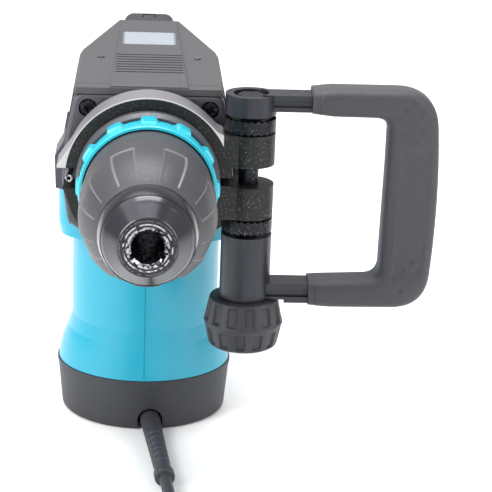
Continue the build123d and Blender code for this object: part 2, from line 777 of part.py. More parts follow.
with BuildPart() as side_handle_frame:
    with BuildSketch(Plane.XY.offset(eye_low)):
        with Locations((post_x, post_y)):
            Circle(post_r)
    extrude(amount=eye_top - eye_low)
    with BuildSketch(Plane.XY.offset(tube_low)):
        with Locations((post_x, post_y)):
            Circle(post_r)
    extrude(amount=tube_top - tube_low)
    # both arms and the core inside the grip, one bent bar
    bar_top, bar_low = arm_top_z + arm_top_half, arm_low_z - arm_low_half
    with BuildSketch(Plane.XZ.offset(-post_y + arm_depth / 2)) as bar_outline:
        Polygon(
            (post_x, bar_top), (grip_x + 8, bar_top), (grip_x + 8, bar_low), (post_x, bar_low),
            (post_x, arm_low_z + arm_low_half), (grip_x - 7, arm_low_z + arm_low_half),
            (grip_x - 7, arm_top_z - arm_top_half), (post_x, arm_top_z - arm_top_half),
        )
        fillet(bar_outline.vertices().filter_by_position(Axis.X, grip_x, grip_x + 20), 22)
        fillet(bar_outline.vertices().filter_by_position(Axis.X, grip_x - 10, grip_x - 5), 8)
    extrude(amount=-arm_depth)
    with BuildSketch(Plane.XY.offset(tube_low - 1)):
        with Locations((post_x, post_y)):
            Circle(bolt_r + 0.3)
    extrude(amount=140, mode=Mode.SUBTRACT)
    with BuildSketch(Plane.XY.offset(eye_top - 5.6)):
        with Locations((post_x, post_y)):
            Circle(10.6)
    extrude(amount=10, mode=Mode.SUBTRACT)
    # gap between the eye and the tube, where the clamp sits
    with BuildSketch(Plane.XY.offset(tube_top)):
        with Locations((post_x, post_y)):
            Circle(post_r + 2)
    extrude(amount=eye_low - tube_top, mode=Mode.SUBTRACT)
    with BuildSketch(Plane.XY.offset(tube_low - 30)):
        with Locations((post_x, post_y)):
            Circle(knob_r + 0.8)
    extrude(amount=30, mode=Mode.SUBTRACT)
    # long grooves in both faces of the arms
    for face, inward in ((-post_y + arm_depth / 2, -2.0), (-post_y - arm_depth / 2, 2.0)):
        with BuildSketch(Plane.XZ.offset(face)):
            with Locations((86, arm_top_z), (88, arm_low_z)):
                SlotOverall(34, 4.4)
        extrude(amount=inward, mode=Mode.SUBTRACT)

half_y = 13.0  # half depth of the grip along Y
sleeve_half = 8.7  # half height of the rubber over the arms
grip_in_x = grip_outer_x - grip_size

with BuildPart() as side_handle_grip:
    with BuildSketch(Plane.XZ.offset(-post_y + half_y)) as grip_outline:
        top, low = arm_top_z + 1.0, arm_low_z + 0.2
        Polygon(
            (sleeve_top_x, top + sleeve_half - 1.4), (108, top + sleeve_half),
            (grip_outer_x - 4, top + sleeve_half),
            (grip_outer_x, 196), (grip_outer_x, 150), (grip_outer_x - 3, low - sleeve_half),
            (112, low - sleeve_half - 0.4), (sleeve_low_x, low - sleeve_half + 0.6),
            (sleeve_low_x, low + sleeve_half - 0.6), (grip_in_x - 0.8, low + sleeve_half + 0.6),
            (grip_in_x, top - sleeve_half - 0.6), (sleeve_top_x, top - sleeve_half + 0.8),
        )
        outer_corners = grip_outline.vertices().filter_by_position(Axis.X, grip_outer_x - 5, grip_outer_x)
        inner_corners = grip_outline.vertices().filter_by_position(Axis.X, grip_in_x - 1, grip_in_x + 0.1)
        outer_corners = outer_corners.sort_by(Axis.Y)
        fillet([outer_corners[0], outer_corners[-1]], 32)
        fillet(inner_corners, 9)
    extrude(amount=-2 * half_y)
    fillet(side_handle_grip.faces().sort_by(Axis.Y)[0].edges(), 7)
    fillet(side_handle_grip.faces().sort_by(Axis.Y)[-1].edges(), 7)
    # room for the frame inside
    add(side_handle_frame.part, mode=Mode.SUBTRACT)

knob_low, knob_top = 80.2, 111.0
knob_waist_z = 95.5  # widest ring of the knob
knob_slots = 13

with BuildPart() as clamp_knob:
    for end_z, end_r in ((knob_low, 21.2), (knob_top, 21.0)):
        with BuildSketch(Plane.XY.offset(end_z)):
            with Locations((post_x, post_y)):
                Circle(end_r)
        with BuildSketch(Plane.XY.offset(knob_waist_z)):
            with Locations((post_x, post_y)):
                Circle(knob_r)
        loft()
    fillet(clamp_knob.edges().group_by(Axis.Z)[0], 2)
    fillet(clamp_knob.edges().group_by(Axis.Z)[-1], 1.5)
    # upper finger grooves, then the lower ones half a step round
    with BuildSketch(Plane.XY.offset(knob_waist_z)):
        with Locations((post_x, post_y)):
            with PolarLocations(24.8, knob_slots):
                RectangleRounded(4, 5.4, 1.2)
    extrude(amount=20, mode=Mode.SUBTRACT)
    with BuildSketch(Plane.XY.offset(knob_waist_z - 4)):
        with Locations((post_x, post_y)):
            with PolarLocations(24.6, knob_slots, start_angle=180 / knob_slots):
                RectangleRounded(4, 5.4, 1.2)
    extrude(amount=-20, mode=Mode.SUBTRACT)
    with BuildSketch(Plane.XY.offset(bolt_low - 1)):
        with Locations((post_x, post_y)):
            Circle(bolt_r + running)
    extrude(amount=40, mode=Mode.SUBTRACT)

# ---------------------------------------------------------------- rear handle

handle_half = 18.0
lever_pivot = (170.0, 178.0)
dial_centre = (152.0, 223.2)

rear_y = nose_y + 449.0  # the tool's length, less the cord

# corners of the handle's side outline with the radius that rounds each
handle_corners = (
    ((body_rear_y + 0.2, cover_z - 0.1), 0), ((cover_rear_y + 0.3, cover_z - 0.1), 0),
    ((cover_rear_y + 0.3, top_z), 0), ((186, top_z), 48), ((rear_y + 3, 168), 70),
    ((186, 38), 40), ((58.3, 38), 0),
    ((58.3, 68), 0), ((158, 68.6), 30), ((179, 146), 60), ((164, 196), 16), ((body_rear_y + 0.2, 196), 0),
)

with BuildPart() as handle_blank:
    with BuildSketch(side_section) as handle_side:
        Polygon(*[corner for corner, _ in handle_corners])
        for (y, z), radius in handle_corners:
            if radius:
                fillet(handle_side.vertices().sort_by_distance((y, z))[0], radius)
    extrude(amount=handle_half, both=True)
    rims = handle_blank.edges().filter_by(lambda e: abs(e.center().X) > handle_half - 0.01)
    root = rims.filter_by(lambda e: e.center().Z > 200 and e.center().Y < cover_rear_y + 1)
    fillet([e for e in rims if e not in root and e.center().Y > body_rear_y + 2], 7)
    # pocket for the lever and the switch
    with BuildSketch(side_section):
        Polygon((200, 172), (196, 120), (165, 112), (160, 100), (150, 118), (166, 182), (190, 182))
    extrude(amount=9.5, both=True, mode=Mode.SUBTRACT)
    # pocket for the speed dial
    with BuildSketch(side_section):
        with Locations(dial_centre):
            Circle(13)
    extrude(amount=4.6, both=True, mode=Mode.SUBTRACT)

pad_bottom_z, pad_top_z = 92.0, 188.0

with BuildPart() as rear_grip:
    with BuildSketch(side_section):
        add(handle_side.sketch_local)
        offset(amount=-3.2, mode=Mode.SUBTRACT)
        with Locations((rear_y, (pad_bottom_z + pad_top_z) / 2)):
            Rectangle(60, pad_top_z - pad_bottom_z, mode=Mode.INTERSECT)
    extrude(amount=10.5, both=True)

with BuildPart() as rear_handle_left:
    add(handle_blank.part)
    add(rear_grip.part, mode=Mode.SUBTRACT)
    split(bisect_by=Plane.YZ.offset(-0.02), keep=Keep.BOTTOM)

with BuildPart() as rear_handle_right:
    add(handle_blank.part)
    add(rear_grip.part, mode=Mode.SUBTRACT)
    split(bisect_by=Plane.YZ.offset(0.02), keep=Keep.TOP)

with BuildPart() as handle_screws:
    for y, z in ((112, 205), (178, 207), (199, 100), (160, 60)):
        with BuildSketch(Plane.YZ.offset(handle_half + 0.02)):
            with Locations((y, z)):
                Circle(3.6)
                RegularPolygon(1.6, 6, mode=Mode.SUBTRACT)
        extrude(amount=1.2)

# finger lever on the inner side of the grip, hinged at its upper end
with BuildPart() as switch_lever:
    with BuildSketch(side_section):
        with BuildLine():
            Polyline((174, 177), (166.2, 180), (163.5, 166))
            ThreePointArc((163.5, 166), (160, 148), (151.4, 124))
            Polyline((151.4, 124), (157, 120.4))
            ThreePointArc((157, 120.4), (168, 146), (174, 177))
        make_face()
    extrude(amount=8.6, both=True)
    with BuildSketch(side_section):
        with Locations(lever_pivot):
            Circle(3)
    extrude(amount=9.3, both=True)

with BuildPart() as switch_body:
    with BuildSketch(side_section):
        Polygon((180.5, 166), (176, 136), (190, 133), (195, 164))
    extrude(amount=8.5, both=True)

dial_r, dial_half = 12.0, 4.0

with BuildPart() as speed_dial:
    with BuildSketch(side_section):
        with Locations(dial_centre):
            Circle(dial_r)
            with PolarLocations(dial_r + 0.6, 24):
                Circle(1.0, mode=Mode.SUBTRACT)
    extrude(amount=dial_half, both=True)

with BuildPart() as indicator_lenses:
    with BuildSketch(Plane.XY.offset(top_z + 0.02)):
        with Locations((-31, 8), (31, 8)):
            Circle(2.2)
    extrude(amount=1.0)
    fillet(indicator_lenses.edges().group_by(Axis.Z)[-1], 0.5)

# ---------------------------------------------------------------- cord, laid on the floor

lead_angle = 6.0  # the lead points this far to +X of straight ahead
relief_z = 6.7
relief_start = Vector(3.9, -43.0, relief_z)
relief_dir = Vector(sin(radians(lead_angle)), -cos(radians(lead_angle)), 0)
relief_end = relief_start + relief_dir * 92
relief_plane = Plane(origin=relief_start, x_dir=(0, 0, 1), z_dir=relief_dir)
cord_r = cord_d / 2

with BuildPart() as strain_relief:
    with BuildSketch(relief_plane):
        Circle(6.6)
    with BuildSketch(relief_plane.offset(84)):
        Circle(5.2)
    loft()
    with BuildSketch(relief_plane.offset(84)):
        Circle(6.3)
    extrude(amount=8)
    fillet(strain_relief.faces().sort_by(Axis.Y)[0].edges(), 1.5)

coil_mid_d = 107.4  # across the middle of the turns
coil_width, coil_height = 35.0, 32.5
coil_centre = Vector(20.0 - coil_mid_d / 2 - 11.7, -292.0, 0)
lead_join = Vector(20.0, -288.0, cord_r + 0.1)
tail_join = Vector(coil_centre.X - 4, coil_centre.Y - coil_mid_d / 2 - 11.7, cord_r + 0.1)

lead_route = [
    relief_end,
    relief_end + relief_dir * 24,
    Vector(18.4, -184, cord_r + 0.1),
    Vector(19.6, -212, cord_r + 0.1),
    Vector(21.2, -240, cord_r + 0.1),
    Vector(20.3, -266, cord_r + 0.1),
    lead_join,
]
tail_route = [
    tail_join,
    tail_join + Vector(-30, -0.8, 0),
    tail_join + Vector(-59, 2.0, 0),
    tail_join + Vector(-83, 13.0, 0),
    tail_join + Vector(-98, 34.0, 1.5),
    tail_join + Vector(-102, 59.0, 3.5),
    tail_join + Vector(-103, 80.0, 3.5),
]


def route_radii(points):
    """Arc radius at each inner point: 0.45 of the shorter run over the tangent of half the turn."""
    radii = []
    for before, corner, after in zip(points, points[1:], points[2:]):
        turn = radians((corner - before).get_angle(after - corner))
        shorter = min((corner - before).length, (after - corner).length)
        radii.append(0.45 * shorter / tan(turn / 2))
    return radii


with BuildPart() as cord_lead:
    with BuildLine() as lead_path:
        FilletPolyline(*lead_route, radius=route_radii(lead_route))
    with BuildSketch(Plane(lead_path.line @ 0, z_dir=lead_path.line % 0)):
        Circle(cord_r)
    sweep()

with BuildPart() as cord_tail:
    with BuildLine() as tail_path:
        FilletPolyline(*tail_route, radius=route_radii(tail_route))
    with BuildSketch(Plane(tail_path.line @ 0, z_dir=tail_path.line % 0)):
        Circle(cord_r)
    sweep()

with BuildPart() as cord_coil:
    with BuildSketch(Plane.XZ.offset(-coil_centre.Y)):
        with Locations((coil_centre.X + coil_mid_d / 2, coil_height / 2)):
            RectangleRounded(coil_width, coil_height, 5)
    revolve(axis=Axis((coil_centre.X, coil_centre.Y, 0), (0, 0, 1)))
    # seat of the tie
    with BuildSketch(Plane.XY.offset(-1)):
        with Locations((coil_centre.X - coil_mid_d / 2, coil_centre.Y)):
            Rectangle(coil_width + 4, 9)
            Rectangle(coil_width - 4, 9, mode=Mode.SUBTRACT)
    extrude(amount=coil_height + 2, mode=Mode.SUBTRACT)
    with BuildSketch(Plane.XY.offset(coil_height - 2)):
        with Locations((coil_centre.X - coil_mid_d / 2, coil_centre.Y)):
            Rectangle(coil_width + 4, 9)
    extrude(amount=4, mode=Mode.SUBTRACT)
    with BuildSketch(Plane.XY.offset(-1)):
        with Locations((coil_centre.X - coil_mid_d / 2, coil_centre.Y)):
            Rectangle(coil_width + 4, 9)
    extrude(amount=3, mode=Mode.SUBTRACT)

with BuildPart() as coil_tie:
    with BuildSketch(Plane.XZ.offset(-coil_centre.Y + 4)):
        with Locations((coil_centre.X - coil_mid_d / 2, coil_height / 2)):
            Rectangle(coil_width - 0.6, coil_height - 0.6)
            Rectangle(coil_width - 3.8, coil_height - 3.8, mode=Mode.SUBTRACT)
    extrude(amount=-8)

plug_dir = tail_path.line % 1
plug_start = tail_path.line @ 1
flat_dir = Vector(plug_dir.X, plug_dir.Y, 0).normalized()
plug_plane = Plane(origin=plug_start, x_dir=(0, 0, 1), z_dir=flat_dir)

with BuildPart() as plug:
    with BuildSketch(plug_plane):
        Circle(cord_r + 0.6)
    with BuildSketch(plug_plane.offset(22)):
        Circle(cord_r + 2.2)
    loft()
    with BuildSketch(plug_plane.offset(20)):
        RectangleRounded(14, 24, 5)
    with BuildSketch(plug_plane.offset(50)):
        RectangleRounded(14.5, 35, 6)
    loft()

pin_r, pin_spread, pin_out = 2.4, 19.0, 19.0

with BuildPart() as plug_pins:
    for side in (-1, 1):
        with BuildSketch(plug_plane.offset(50)):
            with Locations((0, side * pin_spread / 2)):
                Circle(pin_r)
        extrude(amount=pin_out)

# ---------------------------------------------------------------- files

pieces = {
    "motor_housing": motor_housing,
    "base_cap": base_cap,
    "crank_housing": crank_housing,
    "top_cover": top_cover,
    "rating_label": rating_label,
    "side_covers": side_covers,
    "housing_bolts": housing_bolts,
    "barrel": barrel,
    "cylinder": cylinder,
    "piston": piston,
    "piston_ring": piston_ring,
    "striker": striker,
    "striker_ring": striker_ring,
    "impact_bolt": impact_bolt,
    "tool_holder": tool_holder,
    "locking_rollers": locking_rollers,
    "nose_seal": nose_seal,
    "nose_cap": nose_cap,
    "release_cover": release_cover,
    "release_spring": release_spring,
    "change_ring": change_ring,
    "armature_shaft": armature_shaft,
    "armature_core": armature_core,
    "commutator": commutator,
    "fan": fan,
    "field_stator": field_stator,
    "armature_bearings": armature_bearings,
    "brush_holders": brush_holders,
    "carbon_brushes": carbon_brushes,
    "gear_plate": gear_plate,
    "crankshaft": crankshaft,
    "crank_gear": crank_gear,
    "crank_bearings": crank_bearings,
    "connecting_rod": connecting_rod,
    "wrist_pin": wrist_pin,
    "clamp_band_upper": clamp_band_upper,
    "clamp_band_lower": clamp_band_lower,
    "clamp_hinge_pin": clamp_hinge_pin,
    "serrated_collars": serrated_collars,
    "clamp_bolt": clamp_bolt,
    "side_handle_frame": side_handle_frame,
    "side_handle_grip": side_handle_grip,
    "clamp_knob": clamp_knob,
    "rear_handle_left": rear_handle_left,
    "rear_handle_right": rear_handle_right,
    "rear_grip": rear_grip,
    "handle_screws": handle_screws,
    "switch_lever": switch_lever,
    "switch_body": switch_body,
    "speed_dial": speed_dial,
    "indicator_lenses": indicator_lenses,
    "strain_relief": strain_relief,
    "cord_lead": cord_lead,
    "cord_coil": cord_coil,
    "cord_tail": cord_tail,
    "coil_tie": coil_tie,
    "plug": plug,
    "plug_pins": plug_pins,
}
for name, piece in pieces.items():
    save(piece, name)

for name, path, piece in (("lead", lead_path, cord_lead), ("tail", tail_path, cord_tail)):
    radii = route_radii(lead_route if name == "lead" else tail_route)
    print(name, "radii", [round(r) for r in radii], "length", round(path.wire().length, 1),
          "volume ratio", round(piece.part.volume / (path.wire().length * pi * cord_r**2), 4))
coiled = cord_length - lead_path.wire().length - tail_path.wire().length
print("coiled length", round(coiled), "turns", round(coiled / (pi * coil_mid_d), 2))
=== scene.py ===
import json
import math

import bmesh
import bpy
import numpy as np
from bpy.props import FloatProperty, FloatVectorProperty, IntProperty, PointerProperty
from mathutils import Matrix, Vector


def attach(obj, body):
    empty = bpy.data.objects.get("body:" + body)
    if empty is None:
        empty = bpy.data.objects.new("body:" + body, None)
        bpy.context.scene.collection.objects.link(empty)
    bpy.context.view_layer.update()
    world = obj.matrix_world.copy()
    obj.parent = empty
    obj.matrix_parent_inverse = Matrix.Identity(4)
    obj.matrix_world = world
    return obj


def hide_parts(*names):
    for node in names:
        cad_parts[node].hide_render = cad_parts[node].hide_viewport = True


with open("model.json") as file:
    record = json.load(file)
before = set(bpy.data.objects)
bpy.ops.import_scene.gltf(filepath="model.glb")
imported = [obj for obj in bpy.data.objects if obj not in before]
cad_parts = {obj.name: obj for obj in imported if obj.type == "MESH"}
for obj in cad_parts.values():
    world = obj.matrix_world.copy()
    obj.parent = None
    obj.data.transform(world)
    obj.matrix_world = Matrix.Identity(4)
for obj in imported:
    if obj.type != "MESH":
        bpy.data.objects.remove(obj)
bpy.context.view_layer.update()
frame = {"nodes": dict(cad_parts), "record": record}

bl_info = {
    "name": "Electric jackhammer",
    "version": (1, 0, 0),
    "blender": (4, 5, 0),
    "location": "3D View > Sidebar > Jackhammer",
    "description": "Finishes and detailed pieces of an electric jackhammer with a side handle and mains cord",
    "category": "Object",
}

MM = 0.001

MOTTLE_SCALE = 33.0  # of the noise that shifts a colour over some 30 mm
AXIS_Z = 187.0  # height of the striking axis
NOSE_Y = -234.0  # front end of the tool socket
POST_X, POST_Y = 60.0, -94.0  # clamp post of the side handle
COIL_D, COIL_X, COIL_Y = 107.4, -45.4, -292.0  # middle diameter and centre of the put-away coil
TURNS, STEPS = 14.26, 16  # turns of the coil, control points to a turn
RELIEF = Vector((3.9, -43.0, 6.7))  # root of the cord's strain relief
LEAD = Vector((math.sin(math.radians(6)), -math.cos(math.radians(6)), 0))  # way the cord leaves


# ---------------------------------------------------------------- small tools


def linear(code):
    """A hex colour as linear red, green, blue: ((c + 0.055) / 1.055) ** 2.4 above the foot, c / 12.92 below."""
    c = np.array([int(code[i : i + 2], 16) for i in (1, 3, 5)]) / 255
    return tuple(float(v) for v in np.where(c > 0.04045, ((c + 0.055) / 1.055) ** 2.4, c / 12.92))


def rgba(code):
    """The same with full opacity."""
    return (*linear(code), 1.0)


def smooth(x):
    """Three x squared less two x cubed, held at 0 below 0 and at 1 above 1."""
    x = np.clip(x, 0, 1)
    return x * x * (3 - 2 * x)


def between(x, low, high, soft):
    """1 from low to high and 0 outside, with edges soft wide."""
    return smooth((x - low) / soft + 0.5) * smooth((high - x) / soft + 0.5)


def node(tree, kind, inputs=None, **settings):
    """Add a shader node: settings are its own; inputs are values, or the sockets or nodes that feed it.

    A node feeds by its first output in use.
    """
    made = tree.nodes.new("ShaderNode" + kind)
    for key, value in settings.items():
        setattr(made, key, value)
    for key, value in (inputs or {}).items():
        if isinstance(value, bpy.types.Node):
            value = next(out for out in value.outputs if out.enabled)
        if isinstance(value, bpy.types.NodeSocket):
            tree.links.new(value, made.inputs[key])
        else:
            made.inputs[key].default_value = value
    return made


def surface(name, *grids):
    """A mesh from grids of points in mm (rows, columns, 3), each with a pair saying which ways it closes.

    Neighbouring points make quads; where a way closes, its last line joins its first. Points that
    coincide are merged, and the faces are turned outwards.
    """
    points, faces, start = [], [], 0
    for grid, (rows_close, columns_close) in grids:
        index = start + np.arange(grid.shape[0] * grid.shape[1]).reshape(grid.shape[:2])
        start += index.size
        if rows_close:
            index = np.vstack([index, index[:1]])
        if columns_close:
            index = np.hstack([index, index[:, :1]])
        corners = (index[:-1, :-1], index[1:, :-1], index[1:, 1:], index[:-1, 1:])
        faces.append(np.stack(corners, -1).reshape(-1, 4))
        points.append(grid.reshape(-1, 3))
    points, faces = np.concatenate(points) * MM, np.concatenate(faces)
    mesh = bpy.data.meshes.new(name)
    mesh.vertices.add(len(points))
    mesh.vertices.foreach_set("co", points.astype(np.float32).ravel())
    mesh.loops.add(faces.size)
    mesh.loops.foreach_set("vertex_index", faces.astype(np.int32).ravel())
    mesh.polygons.add(len(faces))
    mesh.polygons.foreach_set("loop_start", np.arange(0, faces.size, 4, dtype=np.int32))
    mesh.update(calc_edges=True)
    work = bmesh.new()
    work.from_mesh(mesh)
    bmesh.ops.remove_doubles(work, verts=work.verts, dist=2e-6)
    bmesh.ops.recalc_face_normals(work, faces=work.faces)
    work.to_mesh(mesh)
    work.free()
    mesh.shade_smooth()
    mesh.set_sharp_from_angle(angle=math.radians(42))
    piece = bpy.data.objects.new(name, mesh)
    bpy.context.scene.collection.objects.link(piece)
    return piece


def settle(piece, body, slot, *replaced):
    """Give a piece its body, its slot's finish, and the CAD nodes that it stands for."""
    piece.data.materials.clear()
    piece.data.materials.append(bpy.data.materials[FINISHES[slot][0]])
    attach(piece, body)
    if replaced:
        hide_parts(*replaced)
    return piece


def turned(profile, around, count=192, wave=None):
    """Points of a profile of (along, radius) turned about a line.

    around is the line's own x, y or z plane frame as (origin, along, across, up): a point is
    origin + along * a + (across * cos t + up * sin t) * r. wave(a, t, r) may change the radius.
    """
    origin, along, across, up = (np.array(v, float) for v in around)
    a, r = (np.array(profile, float)[:, i][:, None] for i in (0, 1))
    t = np.linspace(0, 2 * np.pi, count, endpoint=False)[None, :]
    r = r + 0 * t
    if wave:
        r = wave(a, t, r)
    side = across * np.cos(t)[..., None] + up * np.sin(t)[..., None]
    return origin + along * (a + 0 * t)[..., None] + side * r[..., None]


TOOL = ((0, 0, AXIS_Z), (0, 1, 0), (1, 0, 0), (0, 0, 1))  # along is Y
POST = ((POST_X, POST_Y, 0), (0, 0, 1), (1, 0, 0), (0, 1, 0))  # along is Z


def dense(profile, step):
    """The same profile with points no further apart than step, on straight runs between its own."""
    p = np.array(profile, float)
    run = np.linalg.norm(np.diff(p, axis=0), axis=1)
    parts = [
        p[i] + (p[i + 1] - p[i]) * np.linspace(0, 1, max(1, math.ceil(run[i] / step)), endpoint=False)[:, None]
        for i in range(len(run))
    ]
    return np.concatenate(parts + [p[-1:]])


def arc(first, middle, last, count=24):
    """Points on the circle through three points, from the first to the last."""
    (ax, ay), (bx, by), (cx, cy) = first, middle, last
    d = 2 * (ax * (by - cy) + bx * (cy - ay) + cx * (ay - by))
    a2, b2, c2 = ax * ax + ay * ay, bx * bx + by * by, cx * cx + cy * cy
    ox = (a2 * (by - cy) + b2 * (cy - ay) + c2 * (ay - by)) / d
    oy = (a2 * (cx - bx) + b2 * (ax - cx) + c2 * (bx - ax)) / d
    angles = np.unwrap([math.atan2(y - oy, x - ox) for x, y in (first, middle, last)])
    t = np.linspace(angles[0], angles[2], count)
    r = math.hypot(ax - ox, ay - oy)
    return np.stack([ox + r * np.cos(t), oy + r * np.sin(t)], 1)


# ---------------------------------------------------------------- finishes


def base(name, colour, rough, metallic=0.0, grain=1.2, depth=0.12, mottle=0.12, spread=0.08, **shader):
    """A finish of a hex or linear colour, with two patterns on it.

    Mottling some 30 mm across shifts the colour. Grain of the given size in mm lifts the surface by
    depth and shifts the roughness by spread. The rest are settings of the shader, by socket name.
    Returns the material, its tree, its shader, and the position and colour that feed it.
    """
    material = bpy.data.materials.new(name)
    material.use_nodes = True
    tree = material.node_tree
    tree.nodes.clear()
    colour = linear(colour) if isinstance(colour, str) else tuple(colour)
    place = node(tree, "TexCoord").outputs["Object"]
    large = node(tree, "TexNoise", {"Vector": place, "Scale": MOTTLE_SCALE, "Detail": 3.0})
    fine = node(tree, "TexNoise", {"Vector": place, "Scale": 1 / (grain * MM), "Detail": 2.0})
    dark, light = ((*(min(c * (1 + s), 1.0) for c in colour), 1.0) for s in (-mottle, mottle))
    tint = node(tree, "Mix", {0: large.outputs["Fac"], 6: dark, 7: light}, data_type="RGBA")
    gloss = {"Value": fine.outputs["Fac"], "From Min": 0.3, "From Max": 0.7}
    gloss |= {"To Min": rough - spread, "To Max": rough + spread}
    lift = {"Height": fine.outputs["Fac"], "Strength": depth, "Distance": grain * MM / 2}
    bsdf = node(
        tree,
        "BsdfPrincipled",
        {
            "Base Color": tint,
            "Roughness": node(tree, "MapRange", gloss),
            "Metallic": metallic,
            "Normal": node(tree, "Bump", lift),
            **{key.replace("_", " ").title(): value for key, value in shader.items()},
        },
    )
    node(tree, "OutputMaterial", {"Surface": bsdf})
    material.diffuse_color = (*colour, 1.0)
    return material, tree, bsdf, place, tint


def moulded_abs_teal():
    """Glossy moulded ABS: a clear soft gloss over an even colour, with a parting line down the front."""
    material, tree, shader, place, colour = base(
        "Moulded ABS, teal", bpy.context.scene.jackhammer.housing_colour, 0.33,
        grain=1.6, depth=0.03, mottle=0.05, spread=0.03, coat_weight=0.25, coat_roughness=0.3,
    )
    axes = node(tree, "SeparateXYZ", {"Vector": place}).outputs
    off = node(tree, "Math", {0: axes["X"]}, operation="ABSOLUTE")
    near = node(tree, "Math", {0: off, 1: 0.00035}, operation="LESS_THAN")
    front = node(tree, "Math", {0: axes["Y"], 1: 0.0}, operation="LESS_THAN")
    above_cap = node(tree, "Math", {0: axes["Z"], 1: 0.036}, operation="GREATER_THAN")
    line = node(tree, "Math", {0: near, 1: front}, operation="MULTIPLY")
    seam = node(tree, "Math", {0: line, 1: above_cap}, operation="MULTIPLY")
    mixed = node(tree, "Mix", {0: seam, 6: colour, 7: rgba("#04738a")}, data_type="RGBA")
    tree.links.new(mixed.outputs[2], shader.inputs["Base Color"])
    return material


def moulded_nylon_black():
    """Glass-filled nylon from a fine spark-eroded mould: black with a dry, even sparkle."""
    return base("Moulded glass-filled nylon, black", "#2b2c32", 0.5, grain=1.1, depth=0.25, mottle=0.1)[0]


def moulded_nylon_warm():
    """Glass-filled nylon, warm dark grey: duller than the black, its grain drawn coarse enough to show."""
    return base("Moulded glass-filled nylon, warm grey", "#4a494c", 0.55, grain=1.3, depth=0.3, mottle=0.06)[0]


def painted_casting():
    """Pressure-cast aluminium under satin paint: a soft broad shine with the casting's waviness in it."""
    return base("Satin painted aluminium casting", "#4d4d53", 0.42, metallic=0.25, grain=2.2, depth=0.12, mottle=0.08)[0]


def label_film():
    """Matt polyester film: blank, pale blue-grey, with a thin darker border."""
    material, tree, shader, place, colour = base(
        "Matt polyester label film", "#949ba3", 0.5, grain=2.0, depth=0.02, mottle=0.02
    )
    centred = node(tree, "VectorMath", {0: place, 1: (0, 0.066, 0)}, operation="SUBTRACT")
    folded = node(tree, "VectorMath", {0: centred}, operation="ABSOLUTE")
    axes = node(tree, "SeparateXYZ", {"Vector": folded}).outputs
    far_x = node(tree, "Math", {0: axes["X"], 1: 0.0166}, operation="GREATER_THAN")
    far_y = node(tree, "Math", {0: axes["Y"], 1: 0.0196}, operation="GREATER_THAN")
    edge = node(tree, "Math", {0: far_x, 1: far_y}, operation="MAXIMUM")
    mixed = node(tree, "Mix", {0: edge, 6: colour, 7: rgba("#6c737b")}, data_type="RGBA")
    tree.links.new(mixed.outputs[2], shader.inputs["Base Color"])
    return material


def ground_steel():
    """Hardened ground steel with grease in its hollows: bright, with dark specks."""
    material, tree, shader, place, colour = base(
        "Ground tool steel, greased", "#a9aab0", 0.28, metallic=1.0, grain=1.2, depth=0.2, mottle=0.1
    )
    specks = node(tree, "TexNoise", {"Vector": place, "Scale": 520.0, "Detail": 3.0}).outputs["Fac"]
    mask = node(tree, "MapRange", {"Value": specks, "From Min": 0.5, "From Max": 0.56}).outputs["Result"]
    mixed = node(tree, "Mix", {0: mask, 6: colour, 7: rgba("#2a2a2e")}, data_type="RGBA")
    tree.links.new(mixed.outputs[2], shader.inputs["Base Color"])
    return material


def blackened_steel():
    """Phosphated steel: near black and slightly rough, pale where edges have rubbed through."""
    material, tree, shader, place, colour = base(
        "Phosphated steel", "#202126", 0.36, metallic=0.7, grain=1.0, depth=0.3, mottle=0.15
    )
    spots = node(tree, "TexNoise", {"Vector": place, "Scale": 900.0, "Detail": 1.0}).outputs["Fac"]
    mask = node(tree, "MapRange", {"Value": spots, "From Min": 0.66, "From Max": 0.72}).outputs["Result"]
    mixed = node(tree, "Mix", {0: mask, 6: colour, 7: rgba("#6b6c72")}, data_type="RGBA")
    tree.links.new(mixed.outputs[2], shader.inputs["Base Color"])
    return material


def band_steel():
    """The clamp band's forging: speckled black front, satin grey outside, and a painted highlight, a bright line,
    where they meet.
    """
    material, tree, shader, place, colour = base(
        "Phosphated forging with painted edge highlight", "#222222", 0.45, metallic=0.5, grain=1.2, depth=0.3, mottle=0.1
    )
    spots = node(tree, "TexNoise", {"Vector": place, "Scale": 800.0, "Detail": 1.0}).outputs["Fac"]
    specks = node(tree, "MapRange", {"Value": spots, "From Min": 0.62, "From Max": 0.7})
    spotted = node(tree, "Mix", {0: specks, 6: colour, 7: rgba("#55524f")}, data_type="RGBA")
    offset = {0: place, 1: (1, 0, 1), 2: (0, 0, -AXIS_Z * MM)}
    from_axis = node(tree, "VectorMath", offset, operation="MULTIPLY_ADD")
    reach = node(tree, "VectorMath", {0: from_axis.outputs["Vector"]}, operation="LENGTH").outputs["Value"]
    axes = node(tree, "SeparateXYZ", {"Vector": place}).outputs
    above = node(tree, "Math", {0: axes["Z"], 1: 0.183}, operation="GREATER_THAN")
    left = node(tree, "Math", {0: axes["X"], 1: 0.044}, operation="LESS_THAN")
    outer = node(tree, "Math", {0: reach, 1: 0.0488}, operation="GREATER_THAN")
    upper_left = node(tree, "Math", {0: above, 1: left}, operation="MULTIPLY")
    side = node(tree, "Math", {0: outer, 1: upper_left}, operation="MULTIPLY")
    behind_front = node(tree, "Math", {0: axes["Y"], 1: -0.1072}, operation="GREATER_THAN")
    highlight_strip = node(tree, "Math", {0: axes["Y"], 1: -0.1062}, operation="LESS_THAN")
    outside = node(tree, "Math", {0: side, 1: behind_front}, operation="MULTIPLY")
    # edge: where a painted highlight goes, a 1 mm strip along the front rim of the outer face at the upper left
    edge = node(tree, "Math", {0: side, 1: highlight_strip}, operation="MULTIPLY")
    satin = node(tree, "Mix", {0: outside, 6: spotted, 7: rgba("#8b888d")}, data_type="RGBA")
    # The pale #c9c6c6 on that rim is a painted highlight, not the metal's own colour
    bright = node(tree, "Mix", {0: edge, 6: satin, 7: rgba("#c9c6c6")}, data_type="RGBA")
    tree.links.new(bright.outputs[2], shader.inputs["Base Color"])
    return material


